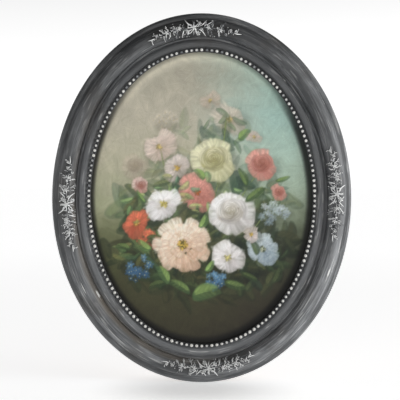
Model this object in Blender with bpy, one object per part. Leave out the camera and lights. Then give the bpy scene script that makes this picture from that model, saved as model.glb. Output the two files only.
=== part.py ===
"""Oval framed painting, made to hang on a wall.

The moulding is an oval of turned wood: the same cross-section all round, at semi-axes that
grow by the same distance in both directions. A string of beads is glued into a seat beside
the sight edge, and four cast sprays of leaves lie on the crown, at the top, the bottom and
the sides. The painted panel and a backing board sit in the rabbet behind, held by thin steel
points. A toothed hanger is nailed into a pocket in the back.

Metres, +Z up. The painting faces -Y and the wall plane is y = 0. The origin is the point of
the wall plane behind the middle of the hanger.

In the cross-section, "out" is the distance outwards from the sight edge and "height" is the
distance forwards from the wall plane.
"""

import math

import bmesh
import bpy
from mathutils import Matrix, Vector

# Sight opening: the part of the painting that shows
SIGHT_WIDTH = 0.304
SIGHT_HEIGHT = 0.400

# Fit between pieces that touch
GAP = 0.0003

# Widths of the cross-section, from the sight edge outwards
BEAD_SEAT_WIDTH = 0.0058
RING_WIDTH = 0.0118
HOLLOW_WIDTH = 0.0006
FILLET_WIDTH = 0.0028
GROOVE_WIDTH = 0.0010
CROWN_WIDTH = 0.0232
RIM_WIDTH = 0.0084

# Heights of the cross-section above the wall plane
RABBET_DEPTH = 0.0090
LIP_THICKNESS = 0.0030
RING_RISE = 0.0038
HOLLOW_HEIGHT = 0.0112
FILLET_HEIGHT = 0.0124
GROOVE_HEIGHT = 0.0098
CROWN_FOOT = 0.0108
CROWN_RISE = 0.0104
RIM_SIDE = 0.0080
RIM_CREST = 0.0118
BACK_CHAMFER = 0.0015

# Rabbet and what it holds
RABBET_WIDTH = 0.0070
RABBET_PLAY = 0.0010
PANEL_THICKNESS = 0.0032
BOARD_THICKNESS = 0.0025

# Beads: each has a narrow neck and two full sections, as shares of its radius
BEAD_RADIUS = 0.0030
BEAD_OVERHANG = 0.0006
BEAD_PITCH = 0.00694
BEAD_SHARES = (0.42, 0.97, 0.97)

# Sprays on the crown; the lift keeps flat undersides clear of the crown's curve
SPRAY_HALF_LENGTH = 0.0675
SPRAY_LIFT = 0.0007

# How far each spray is set anticlockwise of its middle, as the photo shows
TOP_DRIFT = 0.0105
RIGHT_DRIFT = 0.0060
BOTTOM_DRIFT = 0.0095
LEFT_DRIFT = 0.0085

# How far the leaves spread over the crown, and the stem
CROWN_USED = 0.90
STEM_HALF_WIDTH = 0.0012
STEM_HEIGHT = 0.0018

# Leaves of a spray, with their spread from the stem in degrees
LEAF_PAIRS = 5
LAST_PAIR_PLACE = 0.91
LONGEST_LEAF = 0.0120
SHORTEST_LEAF = 0.0080
WIDEST_SPREAD = 66
NARROWEST_SPREAD = 38
PAIR_STAGGER = 0.0025
LEAF_SLIMNESS = 0.29
LEAF_STEP = 0.0060
MIDRIB_HEIGHT = 0.0021
FROND_LENGTH = 0.0165
FROND_BEND = 40

# Flowers of a spray; heights and reaches are shares of the petal's length
MAIN_PETAL = 0.0082
SMALL_PETAL = 0.0048
PETAL_COUNT = 5
PETAL_TURN = 18
BUD_SHARE = 0.44
NOTCH_SHARE = 0.50
RIDGE_SHARE = 0.60
RIDGE_RISE_SHARE = 0.30
SMALL_FLOWER_PLACES = (-0.64, 0.56)

# Steel points that hold the board in
POINT_COUNT = 6
POINT_WIDTH = 0.0080
POINT_REACH = 0.0085
POINT_BITE = 0.0050
POINT_THICKNESS = 0.0006

# Toothed hanger and its nails
HANGER_OUT = 0.0300
HANGER_LENGTH = 0.0500
HANGER_HEIGHT = 0.0095
HANGER_THICKNESS = 0.0009
HANGER_BRIDGE = 0.0012
HANGER_TOOTH = 0.0016
TOOTH_COUNT = 7
POCKET_DEPTH = 0.0032
POCKET_MARGIN = 0.0020
NAIL_INSET = 0.0040
NAIL_RADIUS = 0.0008
NAIL_HEAD_RADIUS = 0.0023
NAIL_HEAD_HEIGHT = 0.0008
NAIL_LENGTH = 0.0100
NAIL_SHOULDER = 0.7

# Fineness
OVAL_SEGMENTS = 48
LENGTH_STEPS = 1440
CROWN_POINTS = 7
RING_POINTS = 4
RIM_POINTS = 4
NAIL_SIDES = 6

# Worked out from the sizes above
SEAT_HEIGHT = RABBET_DEPTH + LIP_THICKNESS
BEAD_LINE = BEAD_RADIUS - BEAD_OVERHANG
HOLLOW_LINE = BEAD_SEAT_WIDTH + RING_WIDTH + HOLLOW_WIDTH / 2
FILLET_INNER = BEAD_SEAT_WIDTH + RING_WIDTH + HOLLOW_WIDTH
GROOVE_LINE = FILLET_INNER + FILLET_WIDTH + GROOVE_WIDTH / 2
CROWN_INNER = FILLET_INNER + FILLET_WIDTH + GROOVE_WIDTH
CROWN_LINE = CROWN_INNER + CROWN_WIDTH / 2
RIM_INNER = CROWN_INNER + CROWN_WIDTH
MOULDING_WIDTH = RIM_INNER + RIM_WIDTH
CENTRE_Z = -(SIGHT_HEIGHT / 2 + HANGER_OUT)
PANEL_FRONT = RABBET_DEPTH - GAP
BOARD_FRONT = PANEL_FRONT - PANEL_THICKNESS - GAP
POINT_FRONT = BOARD_FRONT - BOARD_THICKNESS - GAP
RIGHT, TOP, LEFT, BOTTOM = (math.radians(degrees) for degrees in (0, 90, 180, 270))


def clear_scene():
    """Removes the objects that the file opened with."""
    for obj in list(bpy.data.objects):
        bpy.data.objects.remove(obj)


def make_collection(name, shown):
    """A new collection in the scene; one that isn't shown holds cutters."""
    made = bpy.data.collections.new(name)
    made.hide_render = not shown
    bpy.context.scene.collection.children.link(made)
    return made


def make_material(name, colour, roughness, metallic=0.0):
    """A Principled material with one colour."""
    material = bpy.data.materials.new(name)
    material.use_nodes = True
    shader = material.node_tree.nodes["Principled BSDF"]
    shader.inputs["Base Color"].default_value = (*colour, 1)
    shader.inputs["Roughness"].default_value = roughness
    shader.inputs["Metallic"].default_value = metallic
    material.diffuse_color = (*colour, 1)
    return material


def oval_point(angle, out, height):
    """The place of a cross-section point, at the oval's parametric angle."""
    return Vector(
        (
            (SIGHT_WIDTH / 2 + out) * math.cos(angle),
            -height,
            CENTRE_Z + (SIGHT_HEIGHT / 2 + out) * math.sin(angle),
        )
    )


def oval_step(angle, out):
    """Arc length for each radian of the parametric angle, along one line of the oval."""
    return math.hypot(
        (SIGHT_WIDTH / 2 + out) * math.sin(angle),
        (SIGHT_HEIGHT / 2 + out) * math.cos(angle),
    )


def angle_along(start, length, out, steps=24):
    """The angle reached from start by walking a length along one line of the oval."""
    angle = start
    for _ in range(steps):
        middle = angle + length / steps / oval_step(angle, out) / 2
        angle += length / steps / oval_step(middle, out)
    return angle


def oval_length(out):
    """The length of one line of the oval, all the way round."""
    turn = 2 * math.pi / LENGTH_STEPS
    return sum(oval_step(index * turn, out) * turn for index in range(LENGTH_STEPS))


def oval_normal(angle, out):
    """The outward direction of one line of the oval, in its plane."""
    across = (SIGHT_HEIGHT / 2 + out) * math.cos(angle)
    up = (SIGHT_WIDTH / 2 + out) * math.sin(angle)
    return Vector((across, 0, up)).normalized()


def crest(start, width, inner_foot, top, outer_foot, count):
    """Points of a rounded crest between its two feet, without the feet.

    Each half is a quarter-ellipse, so the feet may stand at different heights.
    """
    made = []
    for index in range(1, count - 1):
        turn = math.pi * index / (count - 1)
        out = start + width / 2 * (1 - math.cos(turn))
        foot = inner_foot if turn < math.pi / 2 else outer_foot
        made.append((out, foot + (top - foot) * math.sin(turn)))
    return made


def moulding_profile():
    """The closed outline of the wood, as (out, height) points, from the sight edge round."""
    crown_top = CROWN_FOOT + CROWN_RISE
    ring_top = SEAT_HEIGHT + RING_RISE
    return [
        (0, RABBET_DEPTH),
        (0, SEAT_HEIGHT),
        (BEAD_SEAT_WIDTH, SEAT_HEIGHT),
        *crest(BEAD_SEAT_WIDTH, RING_WIDTH, SEAT_HEIGHT, ring_top, HOLLOW_HEIGHT, RING_POINTS),
        (HOLLOW_LINE, HOLLOW_HEIGHT),
        (FILLET_INNER, FILLET_HEIGHT),
        (FILLET_INNER + FILLET_WIDTH, FILLET_HEIGHT),
        (GROOVE_LINE, GROOVE_HEIGHT),
        *crest(CROWN_INNER, CROWN_WIDTH, CROWN_FOOT, crown_top, CROWN_FOOT, CROWN_POINTS),
        (RIM_INNER, CROWN_FOOT),
        *crest(RIM_INNER, RIM_WIDTH, CROWN_FOOT, RIM_CREST, RIM_SIDE, RIM_POINTS),
        (MOULDING_WIDTH, RIM_SIDE),
        (MOULDING_WIDTH, BACK_CHAMFER),
        (MOULDING_WIDTH - BACK_CHAMFER, 0),
        (RABBET_WIDTH, 0),
        (RABBET_WIDTH, RABBET_DEPTH),
    ]


def add_object(name, data, collection, material=None):
    """Links a named object, with its material."""
    obj = bpy.data.objects.new(name, data)
    collection.objects.link(obj)
    if material:
        data.materials.append(material)
    return obj


def mesh_from(bm, name):
    """Ends a bmesh as a mesh with its faces pointing out."""
    bmesh.ops.recalc_face_normals(bm, faces=bm.faces)
    mesh = bpy.data.meshes.new(name)
    bm.to_mesh(mesh)
    bm.free()
    return mesh


def smooth_by_angle(mesh, degrees):
    """Shades round faces smooth and keeps real edges sharp."""
    mesh.shade_smooth()
    mesh.set_sharp_from_angle(angle=math.radians(degrees))


def stretch_to_oval(bm):
    """Moves a ring or disc turned about Y into the oval, as an oval lathe's chuck does.

    The turned piece has the sight width as its reference circle. Each vertex shifts along Z
    by the sine of its angle, so every line becomes an ellipse and keeps its width on the axes.
    """
    shift = (SIGHT_HEIGHT - SIGHT_WIDTH) / 2
    for vertex in bm.verts:
        radius = math.hypot(vertex.co.x, vertex.co.z)
        sine = vertex.co.z / radius if radius > GAP else 0
        vertex.co.z += shift * sine + CENTRE_Z


def make_ring(name, profile):
    """Spins a closed cross-section into an oval ring."""
    bm = bmesh.new()
    corners = [bm.verts.new((SIGHT_WIDTH / 2 + out, -height, 0)) for out, height in profile]
    edges = [bm.edges.new(pair) for pair in zip(corners, corners[1:] + corners[:1])]
    bmesh.ops.spin(
        bm,
        geom=corners + edges,
        axis=(0, 1, 0),
        cent=(0, 0, 0),
        angle=2 * math.pi,
        steps=OVAL_SEGMENTS,
        use_merge=True,
    )
    stretch_to_oval(bm)
    return mesh_from(bm, name)


def make_disc(name, out, front, thickness):
    """An oval plate, out beyond the sight edge, with its front face at a height."""
    bm = bmesh.new()
    bmesh.ops.create_cone(
        bm,
        cap_ends=True,
        segments=OVAL_SEGMENTS,
        radius1=SIGHT_WIDTH / 2 + out,
        radius2=SIGHT_WIDTH / 2 + out,
        depth=thickness,
    )
    stand = Matrix.Rotation(math.radians(90), 4, "X")
    bmesh.ops.transform(bm, matrix=stand, verts=bm.verts)
    bmesh.ops.translate(bm, vec=(0, thickness / 2 - front, 0), verts=bm.verts)
    stretch_to_oval(bm)
    return mesh_from(bm, name)


def cut(obj, cutter):
    """Takes a cutter out of an object."""
    modifier = obj.modifiers.new("cut " + cutter.name, "BOOLEAN")
    modifier.operation = "DIFFERENCE"
    modifier.solver = "EXACT"
    modifier.object = cutter


def hide_cutter(cutter):
    """Marks a cutter, which the part doesn't show."""
    cutter.hide_render = True
    cutter.display_type = "WIRE"
    return cutter


def box_mesh(name, size):
    """A box about its own centre."""
    bm = bmesh.new()
    bmesh.ops.create_cube(bm, size=1)
    bmesh.ops.scale(bm, vec=size, verts=bm.verts)
    return mesh_from(bm, name)


def make_moulding(parts, material):
    """The turned wooden oval, with its rabbet."""
    mesh = make_ring("moulding", moulding_profile())
    smooth_by_angle(mesh, 38)
    return add_object("moulding", mesh, parts, material)


def make_bead_string(parts, material):
    """One string of beads, as a round cord whose thickness swells at each bead."""
    length = oval_length(BEAD_LINE)
    count = round(length / BEAD_PITCH) * len(BEAD_SHARES)
    curve = bpy.data.curves.new("bead_string", "CURVE")
    curve.dimensions = "3D"
    curve.bevel_depth = BEAD_RADIUS
    curve.bevel_resolution = 0
    spline = curve.splines.new("POLY")
    spline.points.add(count - 1)
    spline.use_cyclic_u = True
    height = SEAT_HEIGHT + GAP + BEAD_RADIUS
    angle = 0
    for index, point in enumerate(spline.points):
        point.co = (*oval_point(angle, BEAD_LINE, height), 1)
        point.radius = BEAD_SHARES[index % len(BEAD_SHARES)]
        angle = angle_along(angle, length / count, BEAD_LINE, steps=2)
    return add_object("bead_string", curve, parts, material)


def make_plate(name, front, thickness, parts, material):
    """An oval plate that fills the rabbet with a little play."""
    mesh = make_disc(name, RABBET_WIDTH - RABBET_PLAY, front, thickness)
    return add_object(name, mesh, parts, material)


def crown_place(middle, along, across, lift):
    """A place on the crown: clockwise along it from a spray's middle, outwards across it, and
    lifted off it.

    The crown's cross-section is a half-ellipse, and a point is lifted along its normal.
    """
    half = CROWN_WIDTH / 2
    across = max(-CROWN_USED * half, min(CROWN_USED * half, across))
    rise = CROWN_RISE * math.sqrt(1 - (across / half) ** 2)
    normal = Vector((across / half**2, rise / CROWN_RISE**2)).normalized()
    out = CROWN_LINE + across + lift * normal.x
    height = CROWN_FOOT + rise + lift * normal.y
    angle = angle_along(middle, -along, CROWN_LINE)
    return oval_point(angle, out, height)


def add_leaf(bm, place, foot, heading, length, slimness=LEAF_SLIMNESS, bend=0):
    """A pointed leaf with a raised midrib, as sections from its foot to its tip.

    place maps (along, across, lift) to the crown. foot is where the leaf starts, as (along,
    across), heading is its direction there, and bend is how far it turns by its tip.
    """
    count = max(1, round(length / LEAF_STEP) - 1)
    step = length / (count + 1)
    spot = Vector(foot)
    base = bm.verts.new(place(*spot, SPRAY_LIFT + MIDRIB_HEIGHT / 2))
    rows = []
    for index in range(count + 1):
        turned = heading + bend * index / count
        forward = Vector((math.cos(turned), math.sin(turned)))
        side = Vector((-forward.y, forward.x))
        spot = spot + step * forward
        if index == count:
            break
        half_width = length * slimness * math.sin(math.pi * (index + 1) / (count + 1))
        left = spot + half_width * side
        right = spot - half_width * side
        rows.append(
            (
                bm.verts.new(place(*left, SPRAY_LIFT)),
                bm.verts.new(place(*spot, SPRAY_LIFT + MIDRIB_HEIGHT)),
                bm.verts.new(place(*right, SPRAY_LIFT)),
            )
        )
    tip = bm.verts.new(place(*spot, SPRAY_LIFT + MIDRIB_HEIGHT / 4))
    for point, row in ((base, rows[0]), (tip, rows[-1])):
        for pair in zip(row, row[1:] + row[:1]):
            bm.faces.new((point, *pair))
    for near, far in zip(rows, rows[1:]):
        for first, second in ((0, 1), (1, 2), (2, 0)):
            bm.faces.new((near[first], far[first], far[second], near[second]))


def add_flower(bm, place, along, petal, count):
    """An open flower on the stem, as one star of ridged petals that rises to a bud."""
    bud = bm.verts.new(place(along, 0, SPRAY_LIFT + petal * BUD_SHARE))
    under = bm.verts.new(place(along, 0, SPRAY_LIFT))
    tips = []
    notches = []
    ridges = []
    for index in range(count):
        heading = math.radians(PETAL_TURN) + 2 * math.pi * index / count
        between = heading + math.pi / count
        for made, turned, reach, lift in (
            (tips, heading, petal, 0),
            (notches, between, petal * NOTCH_SHARE, 0),
            (ridges, heading, petal * RIDGE_SHARE, petal * RIDGE_RISE_SHARE),
        ):
            spot = (along + reach * math.cos(turned), reach * math.sin(turned))
            made.append(bm.verts.new(place(*spot, SPRAY_LIFT + lift)))
    for index in range(count):
        tip = tips[index]
        ridge = ridges[index]
        pair = (notches[index], notches[index - 1])
        for notch in pair:
            bm.faces.new((tip, ridge, notch))
            bm.faces.new((ridge, bud, notch))
        bm.faces.new((tip, *pair))
        bm.faces.new((under, *pair))


def stem_mesh(name, place):
    """The stem that joins a spray's leaves, as a three-sided rod along the crown."""
    bm = bmesh.new()
    reach = SPRAY_HALF_LENGTH - SHORTEST_LEAF
    count = 2 * LEAF_PAIRS
    rows = []
    for index in range(count + 1):
        share = 2 * index / count - 1
        width = STEM_HALF_WIDTH * (1 - abs(share) / 2)
        corners = ((-width, 0), (0, STEM_HEIGHT), (width, 0))
        rows.append(
            [bm.verts.new(place(share * reach, across, SPRAY_LIFT + lift)) for across, lift in corners]
        )
    for near, far in zip(rows, rows[1:]):
        for first, second in ((0, 1), (1, 2), (2, 0)):
            bm.faces.new((near[first], far[first], far[second], near[second]))
    bm.faces.new(rows[0])
    bm.faces.new(rows[-1])
    return mesh_from(bm, name)


def leaves_mesh(name, place):
    """A spray's leaves and flowers, each a closed form whose foot is in the stem.

    The leaves stand in staggered pairs, shorter and closer to the stem towards its ends. The
    clockwise half starts with a pair of long curved fronds instead.
    """
    bm = bmesh.new()
    reach = SPRAY_HALF_LENGTH - SHORTEST_LEAF
    for side, ahead in ((1, 0), (-1, math.pi)):
        for pair in range(LEAF_PAIRS):
            share = LAST_PAIR_PLACE * (pair + 1) / LEAF_PAIRS
            length = LONGEST_LEAF + share * (SHORTEST_LEAF - LONGEST_LEAF)
            spread = math.radians(WIDEST_SPREAD + share * (NARROWEST_SPREAD - WIDEST_SPREAD))
            for hand in (1, -1):
                foot = (side * (reach * share + hand * PAIR_STAGGER / 2), 0)
                heading = ahead + side * hand * spread
                if side == 1 and pair == 0:
                    bend = hand * math.radians(FROND_BEND)
                    add_leaf(bm, place, foot, heading - bend, FROND_LENGTH, LEAF_SLIMNESS / 2, bend)
                else:
                    add_leaf(bm, place, foot, heading, length)
        add_leaf(bm, place, (side * (reach - PAIR_STAGGER), 0), ahead, SHORTEST_LEAF)
    add_flower(bm, place, 0, MAIN_PETAL, PETAL_COUNT)
    for share in SMALL_FLOWER_PLACES:
        add_flower(bm, place, share * SPRAY_HALF_LENGTH, SMALL_PETAL, PETAL_COUNT)
    return mesh_from(bm, name)


def make_spray(name, middle, parts, cutters, material):
    """One cast spray: leaves and flowers joined to their stem."""

    def place(along, across, lift):
        return crown_place(middle, along, across, lift)

    stem = hide_cutter(add_object(name + "_stem", stem_mesh(name + "_stem", place), cutters))
    spray = add_object(name, leaves_mesh(name, place), parts, material)
    modifier = spray.modifiers.new("join to the stem", "BOOLEAN")
    modifier.operation = "UNION"
    modifier.solver = "EXACT"
    modifier.use_self = True
    modifier.object = stem
    return spray


def make_points(parts, cutters, moulding, material):
    """The steel points, each in its own slit in the rabbet's wall."""
    length = POINT_BITE + POINT_REACH
    play = RABBET_WIDTH - RABBET_PLAY
    slit_size = (length + 2 * GAP, POINT_THICKNESS + 2 * GAP, POINT_WIDTH + 2 * GAP)
    for index in range(POINT_COUNT):
        angle = 2 * math.pi * (index + 0.5) / POINT_COUNT
        middle = play + (POINT_BITE - POINT_REACH) / 2
        place = oval_point(angle, middle, POINT_FRONT - POINT_THICKNESS / 2)
        outwards = oval_normal(angle, middle)
        name = f"steel_point_{index + 1}"
        point = add_object(name, box_mesh(name, (length, POINT_THICKNESS, POINT_WIDTH)), parts, material)
        slit = hide_cutter(add_object(name + "_slit", box_mesh(name + "_slit", slit_size), cutters))
        for obj in (point, slit):
            obj.location = place
            obj.rotation_euler.y = -math.atan2(outwards.z, outwards.x)
        cut(moulding, slit)


def hanger_mesh(name):
    """The toothed strip: flat ends, a raised middle, and teeth along its lower edge."""
    bm = bmesh.new()
    half = HANGER_LENGTH / 2
    toothed = half - 2 * NAIL_INSET - NAIL_INSET / 4
    stations = [(-half, 0, 0), (-half + 2 * NAIL_INSET, 0, 0)]
    for index in range(2 * TOOTH_COUNT + 1):
        along = toothed * (index / TOOTH_COUNT - 1)
        stations.append((along, HANGER_BRIDGE, HANGER_TOOTH * (index % 2)))
    stations += [(half - 2 * NAIL_INSET, 0, 0), (half, 0, 0)]
    front = POCKET_DEPTH - GAP
    rows = []
    for along, bridge, tooth in stations:
        near = front - bridge
        far = near - HANGER_THICKNESS
        low = -HANGER_HEIGHT / 2 + tooth
        high = HANGER_HEIGHT / 2
        corners = ((near, low), (near, high), (far, high), (far, low))
        rows.append([bm.verts.new((along, -height, up)) for height, up in corners])
    for near_row, far_row in zip(rows, rows[1:]):
        for index in range(4):
            after = (index + 1) % 4
            bm.faces.new((near_row[index], far_row[index], far_row[after], near_row[after]))
    bm.faces.new(rows[0])
    bm.faces.new(rows[-1])
    return mesh_from(bm, name)


def turned_mesh(name, profile, sides):
    """A solid turned about Y from (radius, height) points that start and end on the axis."""
    bm = bmesh.new()
    points = [bm.verts.new((radius, -height, 0)) for radius, height in profile]
    edges = [bm.edges.new(pair) for pair in zip(points, points[1:])]
    bmesh.ops.spin(
        bm,
        geom=points + edges,
        axis=(0, 1, 0),
        cent=(0, 0, 0),
        angle=2 * math.pi,
        steps=sides,
        use_merge=True,
    )
    bmesh.ops.remove_doubles(bm, verts=bm.verts, dist=GAP / 10)
    return mesh_from(bm, name)


def make_hanger(parts, cutters, moulding, material):
    """The hanger in its pocket, and the two nails that hold it."""
    hanger = add_object("toothed_hanger", hanger_mesh("toothed_hanger"), parts, material)
    size = (HANGER_LENGTH + 2 * POCKET_MARGIN, 2 * POCKET_DEPTH, HANGER_HEIGHT + 2 * POCKET_MARGIN)
    pocket = add_object("hanger_pocket", box_mesh("hanger_pocket", size), cutters)
    cut(moulding, hide_cutter(pocket))

    under_head = POCKET_DEPTH - GAP - HANGER_THICKNESS - GAP
    nail_profile = (
        (0, under_head - NAIL_HEAD_HEIGHT),
        (NAIL_HEAD_RADIUS * NAIL_SHOULDER, under_head - NAIL_HEAD_HEIGHT),
        (NAIL_HEAD_RADIUS, under_head - NAIL_HEAD_HEIGHT / 2),
        (NAIL_HEAD_RADIUS, under_head),
        (NAIL_RADIUS, under_head),
        (NAIL_RADIUS, under_head + NAIL_LENGTH - 2 * NAIL_RADIUS),
        (0, under_head + NAIL_LENGTH),
    )
    hole_profile = (
        (0, under_head),
        (NAIL_RADIUS + GAP, under_head),
        (NAIL_RADIUS + GAP, under_head + NAIL_LENGTH + GAP),
        (0, under_head + NAIL_LENGTH + GAP),
    )
    for hand, side in (("right", 1), ("left", -1)):
        place = (side * (HANGER_LENGTH / 2 - NAIL_INSET), 0, 0)
        name = f"hanger_nail_{hand}"
        nail = add_object(name, turned_mesh(name, nail_profile, NAIL_SIDES), parts, material)
        nail.location = place
        hole = add_object(name + "_hole", turned_mesh(name + "_hole", hole_profile, NAIL_SIDES), cutters)
        hole.location = place
        cut(moulding, hide_cutter(hole))
        cut(hanger, hole)


def main():
    """Builds every piece of the framed painting."""
    clear_scene()
    parts = make_collection("oval_framed_painting", shown=True)
    cutters = make_collection("cutters", shown=False)

    grey_paint = make_material("grey_paint", (0.085, 0.088, 0.092), 0.5)
    bead_paint = make_material("bead_paint", (0.50, 0.50, 0.49), 0.5)
    spray_paint = make_material("spray_paint", (0.42, 0.42, 0.42), 0.6)
    oil_paint = make_material("oil_paint", (0.20, 0.23, 0.16), 0.55)
    brown_board = make_material("brown_board", (0.22, 0.13, 0.07), 0.8)
    zinc_steel = make_material("zinc_steel", (0.55, 0.55, 0.56), 0.35, 1.0)

    moulding = make_moulding(parts, grey_paint)
    make_bead_string(parts, bead_paint)
    for name, side, drift in (
        ("top", TOP, TOP_DRIFT),
        ("right", RIGHT, RIGHT_DRIFT),
        ("bottom", BOTTOM, BOTTOM_DRIFT),
        ("left", LEFT, LEFT_DRIFT),
    ):
        middle = angle_along(side, drift, CROWN_LINE)
        make_spray("spray_" + name, middle, parts, cutters, spray_paint)
    make_plate("painted_panel", PANEL_FRONT, PANEL_THICKNESS, parts, oil_paint)
    make_plate("backing_board", BOARD_FRONT, BOARD_THICKNESS, parts, brown_board)
    make_points(parts, cutters, moulding, zinc_steel)
    make_hanger(parts, cutters, moulding, zinc_steel)


main()
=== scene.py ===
"""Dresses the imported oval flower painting: fine shapes, paint, wear, light and camera.

Every line of the frame is one of a family of ellipses, so a turned, beaded or carved surface is a
function of an angle round the oval and a place in the cross-section. Lengths are in metres.
"""

import logging
import math
from dataclasses import dataclass
from enum import Enum

import bmesh
import bpy
import numpy as np
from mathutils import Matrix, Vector

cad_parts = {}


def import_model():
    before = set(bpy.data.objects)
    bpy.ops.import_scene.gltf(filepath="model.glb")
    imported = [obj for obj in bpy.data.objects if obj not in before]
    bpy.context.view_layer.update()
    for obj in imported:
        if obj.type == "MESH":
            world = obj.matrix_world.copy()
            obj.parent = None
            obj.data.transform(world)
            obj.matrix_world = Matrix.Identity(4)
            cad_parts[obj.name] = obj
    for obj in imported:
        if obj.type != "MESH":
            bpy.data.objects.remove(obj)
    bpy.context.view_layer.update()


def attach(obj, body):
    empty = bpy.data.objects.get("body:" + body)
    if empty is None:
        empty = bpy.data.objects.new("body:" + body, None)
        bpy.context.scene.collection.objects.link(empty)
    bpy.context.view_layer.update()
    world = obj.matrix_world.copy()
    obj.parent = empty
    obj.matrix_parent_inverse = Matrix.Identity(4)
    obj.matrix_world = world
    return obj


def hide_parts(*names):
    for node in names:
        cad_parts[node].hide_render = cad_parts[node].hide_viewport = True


LOG = logging.getLogger("oval_painting")
Array = np.ndarray
Spot = tuple[float, float]
FULL_TURN = 2.0 * math.pi
PER_METRE = 1000.0


def smooth(share: Array | float) -> Array:
    """Goes from 0 to 1 as a smooth step: t * t * (3 - 2 * t), with t held between 0 and 1."""
    held = np.clip(share, 0.0, 1.0)
    return held * held * (3.0 - 2.0 * held)


def hill(offset: Array | float, width: float) -> Array:
    """A rounded hill of height 1 about zero: exp(-(offset / width) squared)."""
    return np.exp(-((np.asarray(offset) / width) ** 2))


def blend(first: Array, second: Array, share: Array | float) -> Array:
    """Goes in a straight line from the first value to the second."""
    return first + (second - first) * share


def tone(red: float, green: float, blue: float) -> Array:
    """A paint as it looks, from 0 to 255 a channel, as an array from 0 to 1."""
    return np.array((red, green, blue)) / 255.0


def as_light(colour: Array) -> Array:
    """Turns display values into amounts of light, by the usual curve of a screen.

    Args:
        colour: Display values from 0 to 1.

    Returns:
        c / 12.92 where c is under 0.04045, and ((c + 0.055) / 1.055) to the power 2.4 above it.
    """
    held = np.clip(colour, 0.0, 1.0)
    return np.where(held < 0.04045, held / 12.92, ((held + 0.055) / 1.055) ** 2.4)


def paint_colour(red: float, green: float, blue: float) -> tuple[float, float, float, float]:
    """A shader colour for a paint that looks like the given 0 to 255 display values."""
    red, green, blue = as_light(tone(red, green, blue))
    return (float(red), float(green), float(blue), 1.0)


def brighter(colour: Array, times: float) -> Array:
    """A colour times a number, held at full white."""
    return np.minimum(colour * times, 1.0)


def read_rows(at: Array | float, steps: Array, rows: Array) -> Array:
    """Reads rows of numbers between the steps that they belong to, in straight lines."""
    return np.stack([np.interp(at, steps, column) for column in rows.T], axis=-1)


def circle(count: int) -> Array:
    """Angles in equal steps round a full turn, from 0."""
    return np.linspace(0.0, FULL_TURN, count, endpoint=False)


def turned_from(angle: Array, middle: float) -> Array:
    """How far each angle lies past a middle one, between minus and plus half a turn."""
    return (angle - middle + math.pi) % FULL_TURN - math.pi


def facing(angle: Array | float, degrees: float) -> Array:
    """How much an angle faces a side, 1 there and 0 opposite: 0.5 + 0.5 * cos(angle - side)."""
    return 0.5 + 0.5 * np.cos(angle - math.radians(degrees))


def beyond(spot: Spot, way: float, distance: float) -> Spot:
    """The place at a distance from a spot, on a way in radians."""
    return spot[0] + distance * math.cos(way), spot[1] + distance * math.sin(way)


@dataclass(frozen=True)
class Oval:
    """The family of ellipses that the frame's lines follow, named by their way out."""

    half_width: float = 0.152
    half_height: float = 0.200
    centre_z: float = -0.230

    @property
    def mean_radius(self) -> float:
        """The root of the mean of the sight edge's two half sizes squared."""
        return math.hypot(self.half_width, self.half_height) / math.sqrt(2.0)

    def place(self, angle: Array, out: Array, height: Array) -> Array:
        """Gives points of the frame.

        x = (half_width + out) cos(angle), y = -height, z = centre + (half_height + out) sin(angle).

        Args:
            angle: Angle round the oval, anticlockwise from its right end.
            out: Distance outside the sight edge.
            height: Height above the wall.

        Returns:
            Points, with a last axis of three.
        """
        angle, out, height = np.broadcast_arrays(angle, out, height)
        x = (self.half_width + out) * np.cos(angle)
        z = self.centre_z + (self.half_height + out) * np.sin(angle)
        return np.stack((x, -height, z), axis=-1)

    def _walk(self, out: float) -> tuple[Array, Array]:
        """Angles over three turns, and the arc length from the first one to each of them."""
        angles = np.linspace(-FULL_TURN, 2.0 * FULL_TURN, 12289)
        across = (self.half_width + out) * np.sin(angles)
        up = (self.half_height + out) * np.cos(angles)
        speed = np.hypot(across, up)
        steps = 0.5 * (speed[1:] + speed[:-1]) * np.diff(angles)
        return angles, np.concatenate(([0.0], np.cumsum(steps)))

    def length(self, out: float) -> float:
        """The length of one line, all the way round."""
        return float(self._walk(out)[1][-1]) / 3.0

    def angle_after(self, start: float, distance: Array, out: float) -> Array:
        """Angles reached from a start by walking distances along one line, anticlockwise."""
        angles, lengths = self._walk(out)
        first = np.interp(start, angles, lengths)
        return np.interp(first + distance, lengths, angles)

    def share_round(self, angle: Array, out: float) -> Array:
        """The share of one line's length that lies before each angle, from the right end."""
        angles, lengths = self._walk(out)
        first = np.interp(0.0, angles, lengths)
        return (np.interp(angle, angles, lengths) - first) / self.length(out)


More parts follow.
